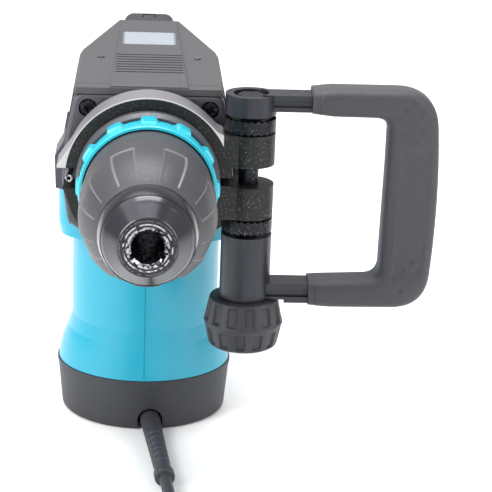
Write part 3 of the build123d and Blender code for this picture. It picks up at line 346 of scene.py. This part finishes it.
def cast_aluminium():
    """Bare machined aluminium: silver with a fine open grain."""
    return base("Machined aluminium", "#b4b6ba", 0.32, metallic=1.0, grain=1.4, depth=0.15)[0]


def nylon_with_painted_highlights():
    """Glass-filled nylon of the release cover: satin, with a painted highlight that makes its panel edges paler."""
    material, tree, shader, _, colour = base(
        "Moulded nylon, painted edge highlights", "#3d3c40", 0.46, grain=1.2, depth=0.16, mottle=0.06
    )
    # The attribute "edge" mixes in a paler colour as a painted highlight on the panel edges
    edge_highlight = node(tree, "Attribute", attribute_name="edge").outputs["Fac"]
    mixed = node(tree, "Mix", {0: edge_highlight, 6: colour, 7: rgba("#77767a")}, data_type="RGBA")
    tree.links.new(mixed.outputs[2], shader.inputs["Base Color"])
    return material


def gloss_pom_teal():
    """Acetal ring, teal: harder and glossier than the housing."""
    return base(
        "Moulded acetal, teal", "#22b3c8", 0.26,
        grain=1.5, depth=0.03, mottle=0.04, spread=0.03, coat_weight=0.4, coat_roughness=0.2,
    )[0]


def matt_rubber():
    """Nitrile rubber seal: dull black, hardly any shine."""
    return base("Moulded nitrile rubber", "#1a1a1e", 0.62, grain=1.2, depth=0.15)[0]


def gloss_nose():
    """Lacquered steel cone: dark with long bright reflections, its rear rim left navy black."""
    material, tree, shader, place, colour = base(
        "Lacquered steel, black", "#2e2e36", 0.24, metallic=0.6, grain=1.4, depth=0.03, mottle=0.05, spread=0.02,
        coat_weight=0.6, coat_roughness=0.18,
    )
    axes = node(tree, "SeparateXYZ", {"Vector": place}).outputs
    rear = node(tree, "Math", {0: axes["Y"], 1: -0.2212}, operation="GREATER_THAN")
    mixed = node(tree, "Mix", {0: rear, 6: colour, 7: rgba("#16191f")}, data_type="RGBA")
    tree.links.new(mixed.outputs[2], shader.inputs["Base Color"])
    return material


def grip_rubber():
    """Thermoplastic rubber of the grips: matt with a velvety sheen at its turned-away edges."""
    return base(
        "Moulded thermoplastic rubber", "#35353b", 0.6,
        grain=1.3, depth=0.28, mottle=0.08, sheen_weight=0.12, sheen_roughness=0.4,
    )[0]


def spring_wire():
    """Drawn spring wire: smooth grey steel."""
    return base("Drawn spring wire", "#7c7d82", 0.3, metallic=1.0, grain=1.0, depth=0.1)[0]


def laminated_steel():
    """Stacked electrical sheet: fine level lines, one to each two sheets so that they show."""
    material, tree, shader, place, colour = base("Laminated electrical steel", "#6d6c6b", 0.4, metallic=0.9)
    wave = node(
        tree, "TexWave", {"Vector": place, "Scale": 320.0, "Distortion": 0.0}, bands_direction="Z"
    ).outputs["Fac"]
    mixed = node(tree, "Mix", {0: wave, 6: colour, 7: rgba("#4a4948")}, data_type="RGBA")
    tree.links.new(mixed.outputs[2], shader.inputs["Base Color"])
    return material


def copper_bars():
    """Hard-drawn copper of the commutator: orange-brown, darkened by the brushes."""
    return base("Hard-drawn copper", "#b4704a", 0.35, metallic=1.0, grain=1.0)[0]


def pressed_carbon():
    """Pressed carbon-graphite: grey-black with a faint pencil shine."""
    return base("Pressed carbon-graphite", "#2a2a2b", 0.48, grain=0.9)[0]


def rolled_brass():
    """Rolled brass of the brush holders: warm yellow, slightly tarnished."""
    return base("Rolled brass", "#b0904f", 0.33, metallic=1.0, grain=1.1)[0]


def painted_tube():
    """Powder-coated steel of the side handle: satin blue-black with a slight orange peel."""
    return base("Powder-coated steel", "#2b2d34", 0.36, metallic=0.35, grain=1.8, depth=0.14, mottle=0.08)[0]


def smoked_lens():
    """Smoked acrylic of the indicator lamps: dark and wet-looking while unlit."""
    return base("Smoked acrylic", "#34343c", 0.18, grain=1.5, depth=0.02, coat_weight=0.5, coat_roughness=0.1)[0]


def cord_sheath():
    """Rubber cord sheath: dark grey, soft low shine."""
    return base("Extruded rubber sheath", "#34343a", 0.5, grain=1.6, depth=0.12, mottle=0.1)[0]


def tie_strap():
    """Hook-and-loop strap: woven nylon, dull black."""
    material, tree, shader, place, colour = base("Woven nylon strap", "#1e1e22", 0.75, grain=1.0, depth=0.3)
    ribs = {"Vector": place, "Scale": 160.0, "Distortion": 0.5}
    weave = node(tree, "TexWave", ribs, bands_direction="DIAGONAL").outputs["Fac"]
    mixed = node(tree, "Mix", {0: weave, 6: colour, 7: rgba("#303036")}, data_type="RGBA")
    tree.links.new(mixed.outputs[2], shader.inputs["Base Color"])
    return material


FINISHES = {  # material slot of the record: name of its finish, and the function that makes it
    "motor_shell": ("Moulded ABS, teal", moulded_abs_teal),
    "cap_plastic": ("Moulded glass-filled nylon, black", moulded_nylon_black),
    "cover_plastic": ("Moulded glass-filled nylon, warm grey", moulded_nylon_warm),
    "casting": ("Satin painted aluminium casting", painted_casting),
    "label": ("Matt polyester label film", label_film),
    "machined_steel": ("Ground tool steel, greased", ground_steel),
    "blackened_steel": ("Phosphated steel", blackened_steel),
    "aluminium": ("Machined aluminium", cast_aluminium),
    "sleeve_plastic": ("Moulded nylon, painted edge highlights", nylon_with_painted_highlights),
    "ring_plastic": ("Moulded acetal, teal", gloss_pom_teal),
    "nose_rubber": ("Moulded nitrile rubber", matt_rubber),
    "nose_shell": ("Lacquered steel, black", gloss_nose),
    "rubber": ("Moulded thermoplastic rubber", grip_rubber),
    "spring_steel": ("Drawn spring wire", spring_wire),
    "electrical_steel": ("Laminated electrical steel", laminated_steel),
    "copper": ("Hard-drawn copper", copper_bars),
    "carbon": ("Pressed carbon-graphite", pressed_carbon),
    "brass": ("Rolled brass", rolled_brass),
    "handle_steel": ("Powder-coated steel", painted_tube),
    "lens": ("Smoked acrylic", smoked_lens),
    "cord_rubber": ("Extruded rubber sheath", cord_sheath),
    "tie": ("Woven nylon strap", tie_strap),
}


# ---------------------------------------------------------------- settings


class HammerSettings(bpy.types.PropertyGroup):
    """Sizes and colours that a user would change."""

    cord_length: FloatProperty(
        name="Cord length", description="Whole length of the mains cord", default=5.0, unit="LENGTH"
    )
    cord_diameter: FloatProperty(
        name="Cord diameter", description="Outside diameter of the cord's sheath", default=0.0076, unit="LENGTH"
    )
    knob_slots: IntProperty(
        name="Knob slots", description="Finger slots round each half of the clamp knob", default=13, min=6, max=24
    )
    ring_lobes: IntProperty(
        name="Ring lobes", description="Grip lobes round the change ring", default=12, min=6, max=24
    )
    panels: IntProperty(
        name="Finger panels", description="Recessed panels round the release cover", default=8, min=4, max=16
    )
    teeth: IntProperty(
        name="Collar teeth", description="Locking teeth round each collar of the side handle",
        default=24, min=12, max=48,
    )
    housing_colour: FloatVectorProperty(
        name="Housing", description="Colour of the motor housing", subtype="COLOR",
        default=linear("#0699b4"), min=0, max=1,
    )
    floor_colour: FloatVectorProperty(
        name="Floor", description="Colour of the studio floor", subtype="COLOR",
        default=linear("#f7f7f7"), min=0, max=1,
    )


# ---------------------------------------------------------------- operators


class JACKHAMMER_OT_finishes(bpy.types.Operator):
    """Give every part of the frame the finish of its material slot"""

    bl_idname = "jackhammer.finishes"
    bl_label = "Finishes"

    def execute(self, context):
        made = {slot: make() for slot, (_, make) in FINISHES.items()}
        made["band"] = band_steel()
        for part in frame["record"]["subparts"]:
            name = part.get("node") or part["name"]
            shown = frame["nodes"][name]
            slot = "band" if name.startswith("clamp_band") else part["material_slot"]
            shown.data.materials.clear()
            shown.data.materials.append(made[slot])
        return {"FINISHED"}


class JACKHAMMER_OT_cord(bpy.types.Operator):
    """Lay the mains cord: out of the base, along the floor, into its put-away coil and on to the plug"""

    bl_idname = "jackhammer.cord"
    bl_label = "Mains cord"

    def execute(self, context):
        settings = context.scene.jackhammer
        leaves = np.array(RELIEF + LEAD * 92)
        lead = [
            leaves, leaves + np.array(LEAD) * 24, (18.4, -184, 3.9), (19.6, -212, 3.9), (21.2, -240, 3.9),
            (22.2, -266, 3.9),
        ]
        tail = np.array([
            (-79.4, -358.2, 3.9), (-108.4, -355.4, 3.9), (-132.4, -344.4, 3.9), (-147.4, -323.4, 5.4),
            (-151.4, -298.4, 7.4), (-152.4, -277.4, 7.4),
        ])
        route = np.concatenate([np.array(lead, float), self.winding(), tail]) * MM
        curve = bpy.data.curves.new("mains_cord", "CURVE")
        curve.dimensions = "3D"
        curve.bevel_depth = settings.cord_diameter / 2
        curve.bevel_resolution = 3
        curve.resolution_u = 4
        curve.use_fill_caps = True
        spline = curve.splines.new("NURBS")
        spline.points.add(len(route) - 1)
        spline.points.foreach_set("co", np.hstack([route, np.ones((len(route), 1))]).ravel())
        spline.order_u = 3
        spline.use_endpoint_u = True
        cord = bpy.data.objects.new("mains_cord", curve)
        context.scene.collection.objects.link(cord)
        settle(cord, "root", "cord_rubber", "cord_lead", "cord_coil", "cord_tail")
        tie = self.tie()
        plug = self.plug(tail[-2], tail[-1])
        self.relief()
        return {"FINISHED"}

    @staticmethod
    def winding():
        """Control points of the coil: a clockwise winding of four columns by four rows.

        At turn t a point is at angle -2 pi t, r = middle radius + (column - 1.5) * 9.1 and
        z = 3.9 + row * 8.2. Column and row step by one where the layer steps over. Beside the tie the
        turns draw together. The radius is pushed out by what the spline cuts off its corners.
        """
        t = np.append(np.arange(0, TURNS * STEPS) / STEPS, TURNS)
        columns = [
            (0.1, -1), (1.1, -1), (2.1, -1), (4.03, 1), (5.03, 1), (6.97, -1), (7.97, -1), (9.9, 1), (10.9, 1),
            (11.9, 1),
        ]
        column = 3 + sum(s * smooth((t - c) / 0.2 + 0.5) for c, s in columns)
        row = sum(smooth((t - c) / 0.2 + 0.5) for c in (3.07, 6.0, 8.93))
        row = (row - np.clip(t - 12, 0, 2) * 8 / 8.2) * (1 - smooth((t - 14) / 0.26))
        drawn = np.exp(-(((t % 1 - 0.5) / 0.06) ** 2)) * (t < 14)
        out = 1 / (0.25 * (1 + math.cos(2 * math.pi / STEPS)) + 0.5)
        r = (COIL_D / 2 + (column - 1.5) * (9.1 - 0.75 * drawn)) * out
        z = 3.9 + 0.9 * drawn + row * (8.2 - 0.5 * drawn)
        return np.stack([COIL_X + r * np.cos(-2 * np.pi * t), COIL_Y + r * np.sin(-2 * np.pi * t), z], 1)

    @staticmethod
    def tie():
        """A strap round the coil's section: a rounded rectangle |x/a|^8 + |z/b|^8 = 1 carried 8 mm along Y."""
        t = np.linspace(0, 2 * np.pi, 120, endpoint=False)
        c, s = np.cos(t), np.sin(t)
        unit = (np.abs(c) ** 8 + np.abs(s) ** 8) ** (-1 / 8)
        rows = []
        edge = ((3.8, 1.2), (4.0, 1.0), (4.0, 0.2), (3.8, 0.0))  # half width, and how far in from the outside
        for y, shrink in [(-y, inset) for y, inset in edge] + list(edge[::-1]):
            x = COIL_X - COIL_D / 2 + (17.4 - shrink) * unit * c
            z = 16.4 + (16.35 - shrink) * unit * s
            rows.append(np.stack([x, COIL_Y + y + 0 * x, z], 1))
        return settle(surface("coil_strap", (np.array(rows), (True, True))), "root", "tie", "coil_tie")

    @staticmethod
    def plug(before, end):
        """A moulded plug: sections |x/a|^p + |z/b|^p = 1 along its axis.

        The width a and thickness b grow from the cord's collar to the face, p goes from 2 (round) to
        4.5 (square), and shallow rings run round its waist for the fingers.
        """
        way = np.array([end[0] - before[0], end[1] - before[1], 0.0])
        way /= np.linalg.norm(way)
        side = np.array([way[1], -way[0], 0.0])
        along = np.concatenate([[0, 0.2], np.linspace(0.6, 49.2, 110), [49.8, 50, 50]])
        body = smooth((along - 17) / 8)
        a = 4.4 + along * 0.075 + body * (6.0 + (along - 20) * 0.16)
        b = 4.4 + along * 0.075 + body * (1.2 - (along - 20) * 0.06)
        ring = 0.45 * (0.5 + 0.5 * np.cos((along - 30) * 2 * np.pi / 3.2)) * between(along, 26, 42, 2)
        a, b, p = a - ring, b - ring * 0.6, 2 + 2.5 * body
        a[-3:-1] -= (0.2, 0.8)
        b[-3:-1] -= (0.2, 0.8)
        a[[0, -1]], b[[0, -1]] = 0.001, 0.001
        t = np.linspace(0, 2 * np.pi, 96, endpoint=False)[None]
        c, s = np.cos(t), np.sin(t)
        unit = (np.abs(c) ** p[:, None] + np.abs(s) ** p[:, None]) ** (-1 / p[:, None])
        flat = side * (a[:, None] * unit * c)[..., None] + np.array([0, 0, 1.0]) * (b[:, None] * unit * s)[..., None]
        grid = np.array(end) + way * along[:, None, None] + flat
        return settle(surface("moulded_plug", (grid, (False, True))), "root", "cord_rubber", "plug")

    @staticmethod
    def relief():
        """A tapered sleeve turned about the cord's line, radius 6.6 to 5.2, ringed for bending, then a bead."""
        along = np.linspace(0, 84, 200)
        r = 6.6 - along * (1.4 / 84) - 0.55 * between(along, 34, 80, 3) * smooth(2.2 * np.cos(along * 2 * np.pi / 7.6))
        bead = [(84, 5.2), (84.4, 6.0), (85.2, 6.3), (90.8, 6.3), (91.6, 6.0), (92, 5.3), (92, 0)]
        profile = [(0, 0)] + list(zip(along, r)) + bead
        line = (tuple(RELIEF), tuple(LEAD), (-LEAD.y, LEAD.x, 0), (0, 0, 1))
        grid = turned(profile, line, 64)
        settle(surface("tapered_relief", (grid, (False, True))), "root", "cord_rubber", "strain_relief")


class JACKHAMMER_OT_release_cover(bpy.types.Operator):
    """Turn the release cover, with its shallow finger panels"""

    bl_idname = "jackhammer.release_cover"
    bl_label = "Release cover"

    def execute(self, context):
        count = context.scene.jackhammer.panels
        skin = np.concatenate([[(-209, 27.0)], arc((-209, 27.4), (-196, 34.9), (-178, 38.4), 60)])
        skin = np.concatenate([skin, dense([(-178, 38.4), (-160, 38.6), (-146, 37.4), (-134, 37.2)], 1.0)[1:]])
        inside = [(-134, 34.2), (-146, 34.2), (-158, 35), (-164, 35), (-164, 15.1), (-168, 15.1), (-168, 35),
                  (-178, 35), (-194, 31), (-205, 24), (-205, 21), (-209, 21)]
        skin_rows = len(skin)

        def panels(a, t, r):
            """The radius drops 0.9 mm inside each panel, from 10 degrees one side of its middle to 10 the other."""
            step = 2 * np.pi / count
            off = np.abs((t - np.pi / 2) % step - step / 2)
            drop = between(off, -1, math.radians(10), math.radians(1.6)) * between(a, -206, -173, 1.4)
            return r - 0.9 * drop * (np.arange(len(a)) < skin_rows)[:, None]

        grid = turned(np.concatenate([skin, inside]), TOOL, 400, panels)
        cover = surface("release_cover_skin", (grid, (True, True)))
        settle(cover, "sleeve", "sleeve_plastic", "release_cover")
        # Mark where the painted highlight goes along the panel edges
        self.mark_edge_highlights(cover.data, count)
        return {"FINISHED"}

    @staticmethod
    def mark_edge_highlights(mesh, count):
        """The attribute "edge" is 1 on a line at each panel's sides and rear, and fades 0.3 mm away; it places a
        painted highlight.
        """
        xyz = np.empty(len(mesh.vertices) * 3)
        mesh.vertices.foreach_get("co", xyz)
        x, y, z = xyz.reshape(-1, 3).T / MM
        z = z - AXIS_Z
        r, step = np.hypot(x, z), 2 * np.pi / count
        off = np.abs((np.arctan2(z, x) - np.pi / 2) % step - step / 2)
        sides = np.exp(-((((off - math.radians(10)) * r) / 0.45) ** 2)) * between(y, -206, -173, 1)
        rear = np.exp(-(((y + 173.2) / 0.5) ** 2)) * (off < math.radians(10))
        shown = (r > 26) & (y < -150)
        # Strength of the painted edge highlight at each point
        layer = mesh.attributes.new("edge", "FLOAT", "POINT")
        layer.data.foreach_set("value", (np.clip(sides + rear, 0, 1) * shown * 0.8).astype(np.float32))


class JACKHAMMER_OT_change_ring(bpy.types.Operator):
    """Turn the change ring: a plain front rim with trapezoid lobes behind it"""

    bl_idname = "jackhammer.change_ring"
    bl_label = "Change ring"

    def execute(self, context):
        count = context.scene.jackhammer.ring_lobes
        section = [
            (-136, 38.15), (-136, 39.4), (-135.2, 40.1), (-127.2, 40.3), (-126.6, 40.3), (-118.9, 40.3),
            (-118.2, 39.6), (-118.2, 38.15),
        ]
        profile = dense(section, 0.5)
        outer = profile[:, 1][:, None] > 39.3

        def lobes(a, t, r):
            """Behind the rim the radius is 39 mm between lobes and 41.8 on them; a lobe spans 12 mm at its foot."""
            off = np.abs((t - np.pi / 2 + np.pi / count) % (2 * np.pi / count) - np.pi / count) * 41
            lobe = smooth((6.4 - off) / 3.2)
            behind = smooth((a + 127.4) / 0.8)
            return np.where(outer, r + behind * (np.clip(39.0 + 2.8 * lobe, 0, r + 1.5) - r), r)

        grid = turned(profile, TOOL, 480, lobes)
        settle(surface("lobed_change_ring", (grid, (True, True))), "change_ring", "ring_plastic", "change_ring")
        return {"FINISHED"}


class JACKHAMMER_OT_nose(bpy.types.Operator):
    """Turn the glossy nose cone and the rubber seal round the socket"""

    bl_idname = "jackhammer.nose"
    bl_label = "Nose"

    def execute(self, context):
        f = NOSE_Y
        cone = [(f + 0.6, 15.3), (f + 0.6, 15.6), (f + 1.2, 16.4)]
        cone += list(dense([(f + 1.2, 16.4), (f + 8.8, 22.4)], 0.5)[1:])
        cone += list(arc((f + 8.8, 22.4), (f + 10.6, 23.8), (f + 12.7, 24.9), 12)[1:])
        cone += [(f + 12.9, 25.4)] + list(arc((f + 13.2, 25.5), (f + 19, 26.9), (-209.7, 27.35), 16))
        cone += [(-209.4, 27.0), (-209.4, 15.3)]
        nose = surface("gloss_nose_cone", (turned(cone, TOOL, 256), (True, True)))
        settle(nose, "holder", "nose_shell", "nose_cap")
        lip = arc((f + 0.25, 14.3), (f + 0.45, 14.95), (f + 1.0, 15.2), 8)
        seal = [(f + 0.5, 11.4), (f + 0.2, 11.6), (f + 0.2, 12.2), (f + 0.45, 12.6), (f + 0.45, 13.2), (f + 0.2, 13.6)]
        seal += list(lip) + [(f + 8, 15.2), (f + 8, 15.02), (f + 0.9, 15.02), (f + 0.75, 14.4), (f + 0.75, 11.4)]
        ring = surface("ringed_nose_seal", (turned(seal, TOOL, 192), (True, True)))
        settle(ring, "holder", "nose_rubber", "nose_seal")
        return {"FINISHED"}


class JACKHAMMER_OT_collars(bpy.types.Operator):
    """Cut the two locking collars with teeth that mesh with the clamp's lugs"""

    bl_idname = "jackhammer.collars"
    bl_label = "Locking collars"

    def execute(self, context):
        count = context.scene.jackhammer.teeth
        grids = []
        for low, top in ((214.9, 224.3), (153.4, 162.8)):
            h = top - low
            section = [
                (low + 1.2, 6.3), (low + 1.2, 13.2), (low + 0.9, 15.25), (low + h / 2, 15.3), (top - 0.9, 15.25),
                (top - 1.2, 13.2), (top - 1.2, 6.3),
            ]
            profile = dense(section, 1.6)
            grid = turned(profile, POST, count * 12)
            t = np.linspace(0, count, count * 12, endpoint=False)
            zigzag = 0.9 * (4 * np.abs(t % 1 - 0.5) - 1)
            near_end = smooth(np.abs((profile[:, 0] - low) / h - 0.5) / 0.5 * 2 - 1)
            reach = near_end * smooth((profile[:, 1] - 11) / 3)
            grid[..., 2] += reach[:, None] * zigzag[None]
            grids.append((grid, (True, True)))
        settle(surface("toothed_collars", *grids), "clamp", "blackened_steel", "serrated_collars")
        return {"FINISHED"}


class JACKHAMMER_OT_knob(bpy.types.Operator):
    """Turn the clamp knob, with one ring of slots above its waist and one between them below"""

    bl_idname = "jackhammer.knob"
    bl_label = "Clamp knob"

    def execute(self, context):
        count = context.scene.jackhammer.knob_slots
        skin = [
            (80.2, 18.4), (80.4, 19.8), (81.2, 20.9), (82.2, 21.4), (94.2, 23.9), (95, 24.25), (96, 24.25),
            (96.8, 23.9), (109.4, 21.3), (110.5, 20.8), (111, 19.6), (111, 18.4),
        ]
        skin = dense(skin, 0.5)
        bore = [(111, 6.05), (87, 6.05), (87, 0), (80.9, 0), (80.9, 13.6), (80.2, 14.2)]
        rows = len(skin)

        def slots(a, t, r):
            """Slots 5.4 mm wide and 1.5 deep; those below the waist stand half a step round from those above."""
            step = 2 * np.pi / count
            above = np.abs((t + step / 2) % step - step / 2) * r
            below = np.abs(t % step - step / 2) * r
            drop = between(above, -1, 2.9, 1.0) * between(a, 97.4, 108.6, 1.4)
            drop = drop + between(below, -1, 2.7, 1.0) * between(a, 82.6, 92.2, 1.4)
            return r - 1.5 * drop * (np.arange(len(a)) < rows)[:, None]

        grid = turned(np.concatenate([skin, bore]), POST, 416, slots)
        settle(surface("slotted_knob", (grid, (True, True))), "knob", "cap_plastic", "clamp_knob")
        return {"FINISHED"}


class JACKHAMMER_OT_side_grip(bpy.types.Operator):
    """Mould the side handle's rubber grip, with its ribs, flat band and dimples"""

    bl_idname = "jackhammer.side_grip"
    bl_label = "Side grip"

    def execute(self, context):
        outline = [
            (96, 241.8), (108, 243.1), (170, 243.2), (174, 196), (174, 150), (171, 107.2), (112, 106.8),
            (98.5, 107.8),
        ]
        opening = [
            (96, 227.4), (108, 226.0), (141.8, 225.6), (141.8, 196), (141.2, 150), (141, 125.4), (112, 124.2),
            (98.5, 123.6),
        ]
        outer = self.rounded(outline, {2: 30, 3: 60, 4: 60, 5: 30})
        inner = self.rounded(opening, {2: 9, 5: 9})
        rows, columns = len(outer), 144
        t = np.linspace(0, 2 * np.pi, columns, endpoint=False)[None]
        c, s = np.cos(t), np.sin(t)
        unit = (np.abs(c) ** 3.6 + np.abs(s) ** 3.6) ** (-1 / 3.6)
        u, v = unit * c, unit * s  # u from the inner side (-1) to the outer (1), v from front (-1) to back (1)
        middle, half = (inner + outer)[:, None] / 2, (outer - inner)[:, None] / 2
        place = middle + half * u[..., None]
        x, z = place[..., 0], place[..., 1]
        deep = 13.0 * v + 0 * x
        face = np.abs(v) ** 6 + 0 * x
        upright = between(z, 128, 208, 5)
        band = between(u, -0.5, 0.6, 0.12) * upright
        spots = np.array([  # middles of the dimples, top corner then bottom corner
            (154, 236.6), (150, 231), (159.3, 231.1), (146.2, 225.5), (155.3, 225), (164.1, 226.1),
            (151.2, 219.3), (160.1, 219.5), (156.2, 213.4), (159, 138), (154.3, 132.9), (163.2, 132.6),
            (149.3, 126.8), (158.7, 126.2), (153.6, 119.9),
        ])
        off = np.hypot(x[..., None] - spots[:, 0], z[..., None] - spots[:, 1])
        dimples = np.sum(smooth((2.5 - off) / 1.4), -1)
        drop = (1.3 * band + 0.8 * dimples) * face
        inset = 0.8 * (1 - between(np.arange(rows)[:, None] / rows, 0.02, 0.98, 0.004))  # step at both ends
        deep = (deep - np.sign(v) * drop) * (1 - inset / 13)
        grid = np.stack([x, POST_Y + deep, z], -1)
        ends = [np.repeat(g.mean(0)[None, None], columns, 1) for g in (grid[0], grid[-1])]
        grid = np.concatenate([ends[0], grid, ends[1]])
        settle(surface("ribbed_side_grip", (grid, (False, True))), "side_handle", "rubber", "side_handle_grip")
        return {"FINISHED"}

    @staticmethod
    def rounded(corners, radii, rows=300):
        """A polyline with some corners rounded: each rounded corner becomes a square-law curve that starts
        and ends its radius away along both runs; the result has evenly spaced rows along its own length."""
        p, out = np.array(corners, float), []
        for i, point in enumerate(p):
            if i in radii:
                back, on = p[i - 1] - point, p[i + 1] - point
                reach = min(radii[i], 0.49 * np.linalg.norm(back), 0.49 * np.linalg.norm(on))
                a, b = (point + w / np.linalg.norm(w) * reach for w in (back, on))
                f = np.linspace(0, 1, 24)[:, None]
                out.append((1 - f) ** 2 * a + 2 * f * (1 - f) * point + f**2 * b)
            else:
                out.append(point[None])
        line = np.concatenate(out)
        run = np.concatenate([[0], np.cumsum(np.linalg.norm(np.diff(line, axis=0), axis=1))])
        even = np.linspace(0, run[-1], rows)
        return np.stack([np.interp(even, run, line[:, k]) for k in (0, 1)], 1)


class JACKHAMMER_OT_stage(bpy.types.Operator):
    """Set the pale floor, the soft lights and the camera"""

    bl_idname = "jackhammer.stage"
    bl_label = "Stage"

    def execute(self, context):
        scene = context.scene
        size = 6000.0
        grid = np.array([[(-size, -size, 0), (-size, size, 0)], [(size, -size, 0), (size, size, 0)]], float)
        floor = surface("studio_floor", (grid - (0, 0, 0.02), (False, False)))
        material = base("Studio floor", scene.jackhammer.floor_colour, 0.9, grain=4.0, depth=0.0, mottle=0.01)[0]
        floor.data.materials.append(material)
        world = bpy.data.worlds.new("Studio")
        scene.world = world
        world.use_nodes = True
        world.node_tree.nodes["Background"].inputs["Color"].default_value = (1, 1, 1, 1)
        world.node_tree.nodes["Background"].inputs["Strength"].default_value = 0.55
        lights = [  # name, place, aim, width, height, watts
            ("left softbox", (-1.1, -0.9, 0.9), (0, -0.1, 0.15), 0.6, 1.2, 22),
            ("right softbox", (1.2, -0.7, 0.8), (0, -0.1, 0.15), 0.35, 1.2, 10),
            ("top softbox", (0.0, 0.2, 1.5), (0, 0, 0.2), 1.0, 0.8, 14),
        ]
        for name, place, aim, width, height, watts in lights:
            light = bpy.data.lights.new(name, "AREA")
            light.shape, light.size, light.size_y, light.energy = "RECTANGLE", width, height, watts
            lamp = bpy.data.objects.new(name, light)
            lamp.location = place
            lamp.rotation_euler = (Vector(aim) - Vector(place)).to_track_quat("-Z", "Y").to_euler()
            scene.collection.objects.link(lamp)
        sun = bpy.data.lights.new("overhead diffuser", "SUN")
        sun.energy, sun.angle = 1.6, math.radians(70)
        lamp = bpy.data.objects.new("overhead diffuser", sun)
        lamp.rotation_euler = (math.radians(-12), math.radians(-14), 0)
        scene.collection.objects.link(lamp)
        pitch, yaw, roll = (math.radians(v) for v in (18.41, 3.77, 2.17))
        ahead = Vector((math.sin(yaw) * math.cos(pitch), math.cos(yaw) * math.cos(pitch), -math.sin(pitch)))
        right = Vector((math.cos(yaw), -math.sin(yaw), 0))
        up = right.cross(ahead)
        axes = (math.cos(roll) * right + math.sin(roll) * up, math.cos(roll) * up - math.sin(roll) * right, -ahead)
        camera = bpy.data.objects.new("camera", bpy.data.cameras.new("camera"))
        camera.data.lens, camera.data.sensor_width = 125.03, 36
        turn = Matrix(axes).transposed().to_4x4()
        turn.translation = Vector((-4.51, -1075.12, 469.95)) * MM
        camera.matrix_world = turn
        scene.collection.objects.link(camera)
        scene.camera = camera
        scene.view_settings.view_transform = "Standard"
        return {"FINISHED"}


class JACKHAMMER_PT_panel(bpy.types.Panel):
    """Sizes and pieces of the jackhammer"""

    bl_label = "Jackhammer"
    bl_space_type = "VIEW_3D"
    bl_region_type = "UI"
    bl_category = "Jackhammer"

    def draw(self, context):
        for name in HammerSettings.__annotations__:
            self.layout.prop(context.scene.jackhammer, name)
        for operator in OPERATORS:
            self.layout.operator(operator.bl_idname)


OPERATORS = (
    JACKHAMMER_OT_finishes,
    JACKHAMMER_OT_cord,
    JACKHAMMER_OT_release_cover,
    JACKHAMMER_OT_change_ring,
    JACKHAMMER_OT_nose,
    JACKHAMMER_OT_collars,
    JACKHAMMER_OT_knob,
    JACKHAMMER_OT_side_grip,
    JACKHAMMER_OT_stage,
)


def register():
    for cls in (HammerSettings, *OPERATORS, JACKHAMMER_PT_panel):
        bpy.utils.register_class(cls)
    bpy.types.Scene.jackhammer = PointerProperty(type=HammerSettings)


def unregister():
    del bpy.types.Scene.jackhammer
    for cls in reversed((HammerSettings, *OPERATORS, JACKHAMMER_PT_panel)):
        bpy.utils.unregister_class(cls)


def main():
    register()
    for operator in OPERATORS:
        group, name = operator.bl_idname.split(".")
        getattr(getattr(bpy.ops, group), name)()


if __name__ == "__main__":
    main()
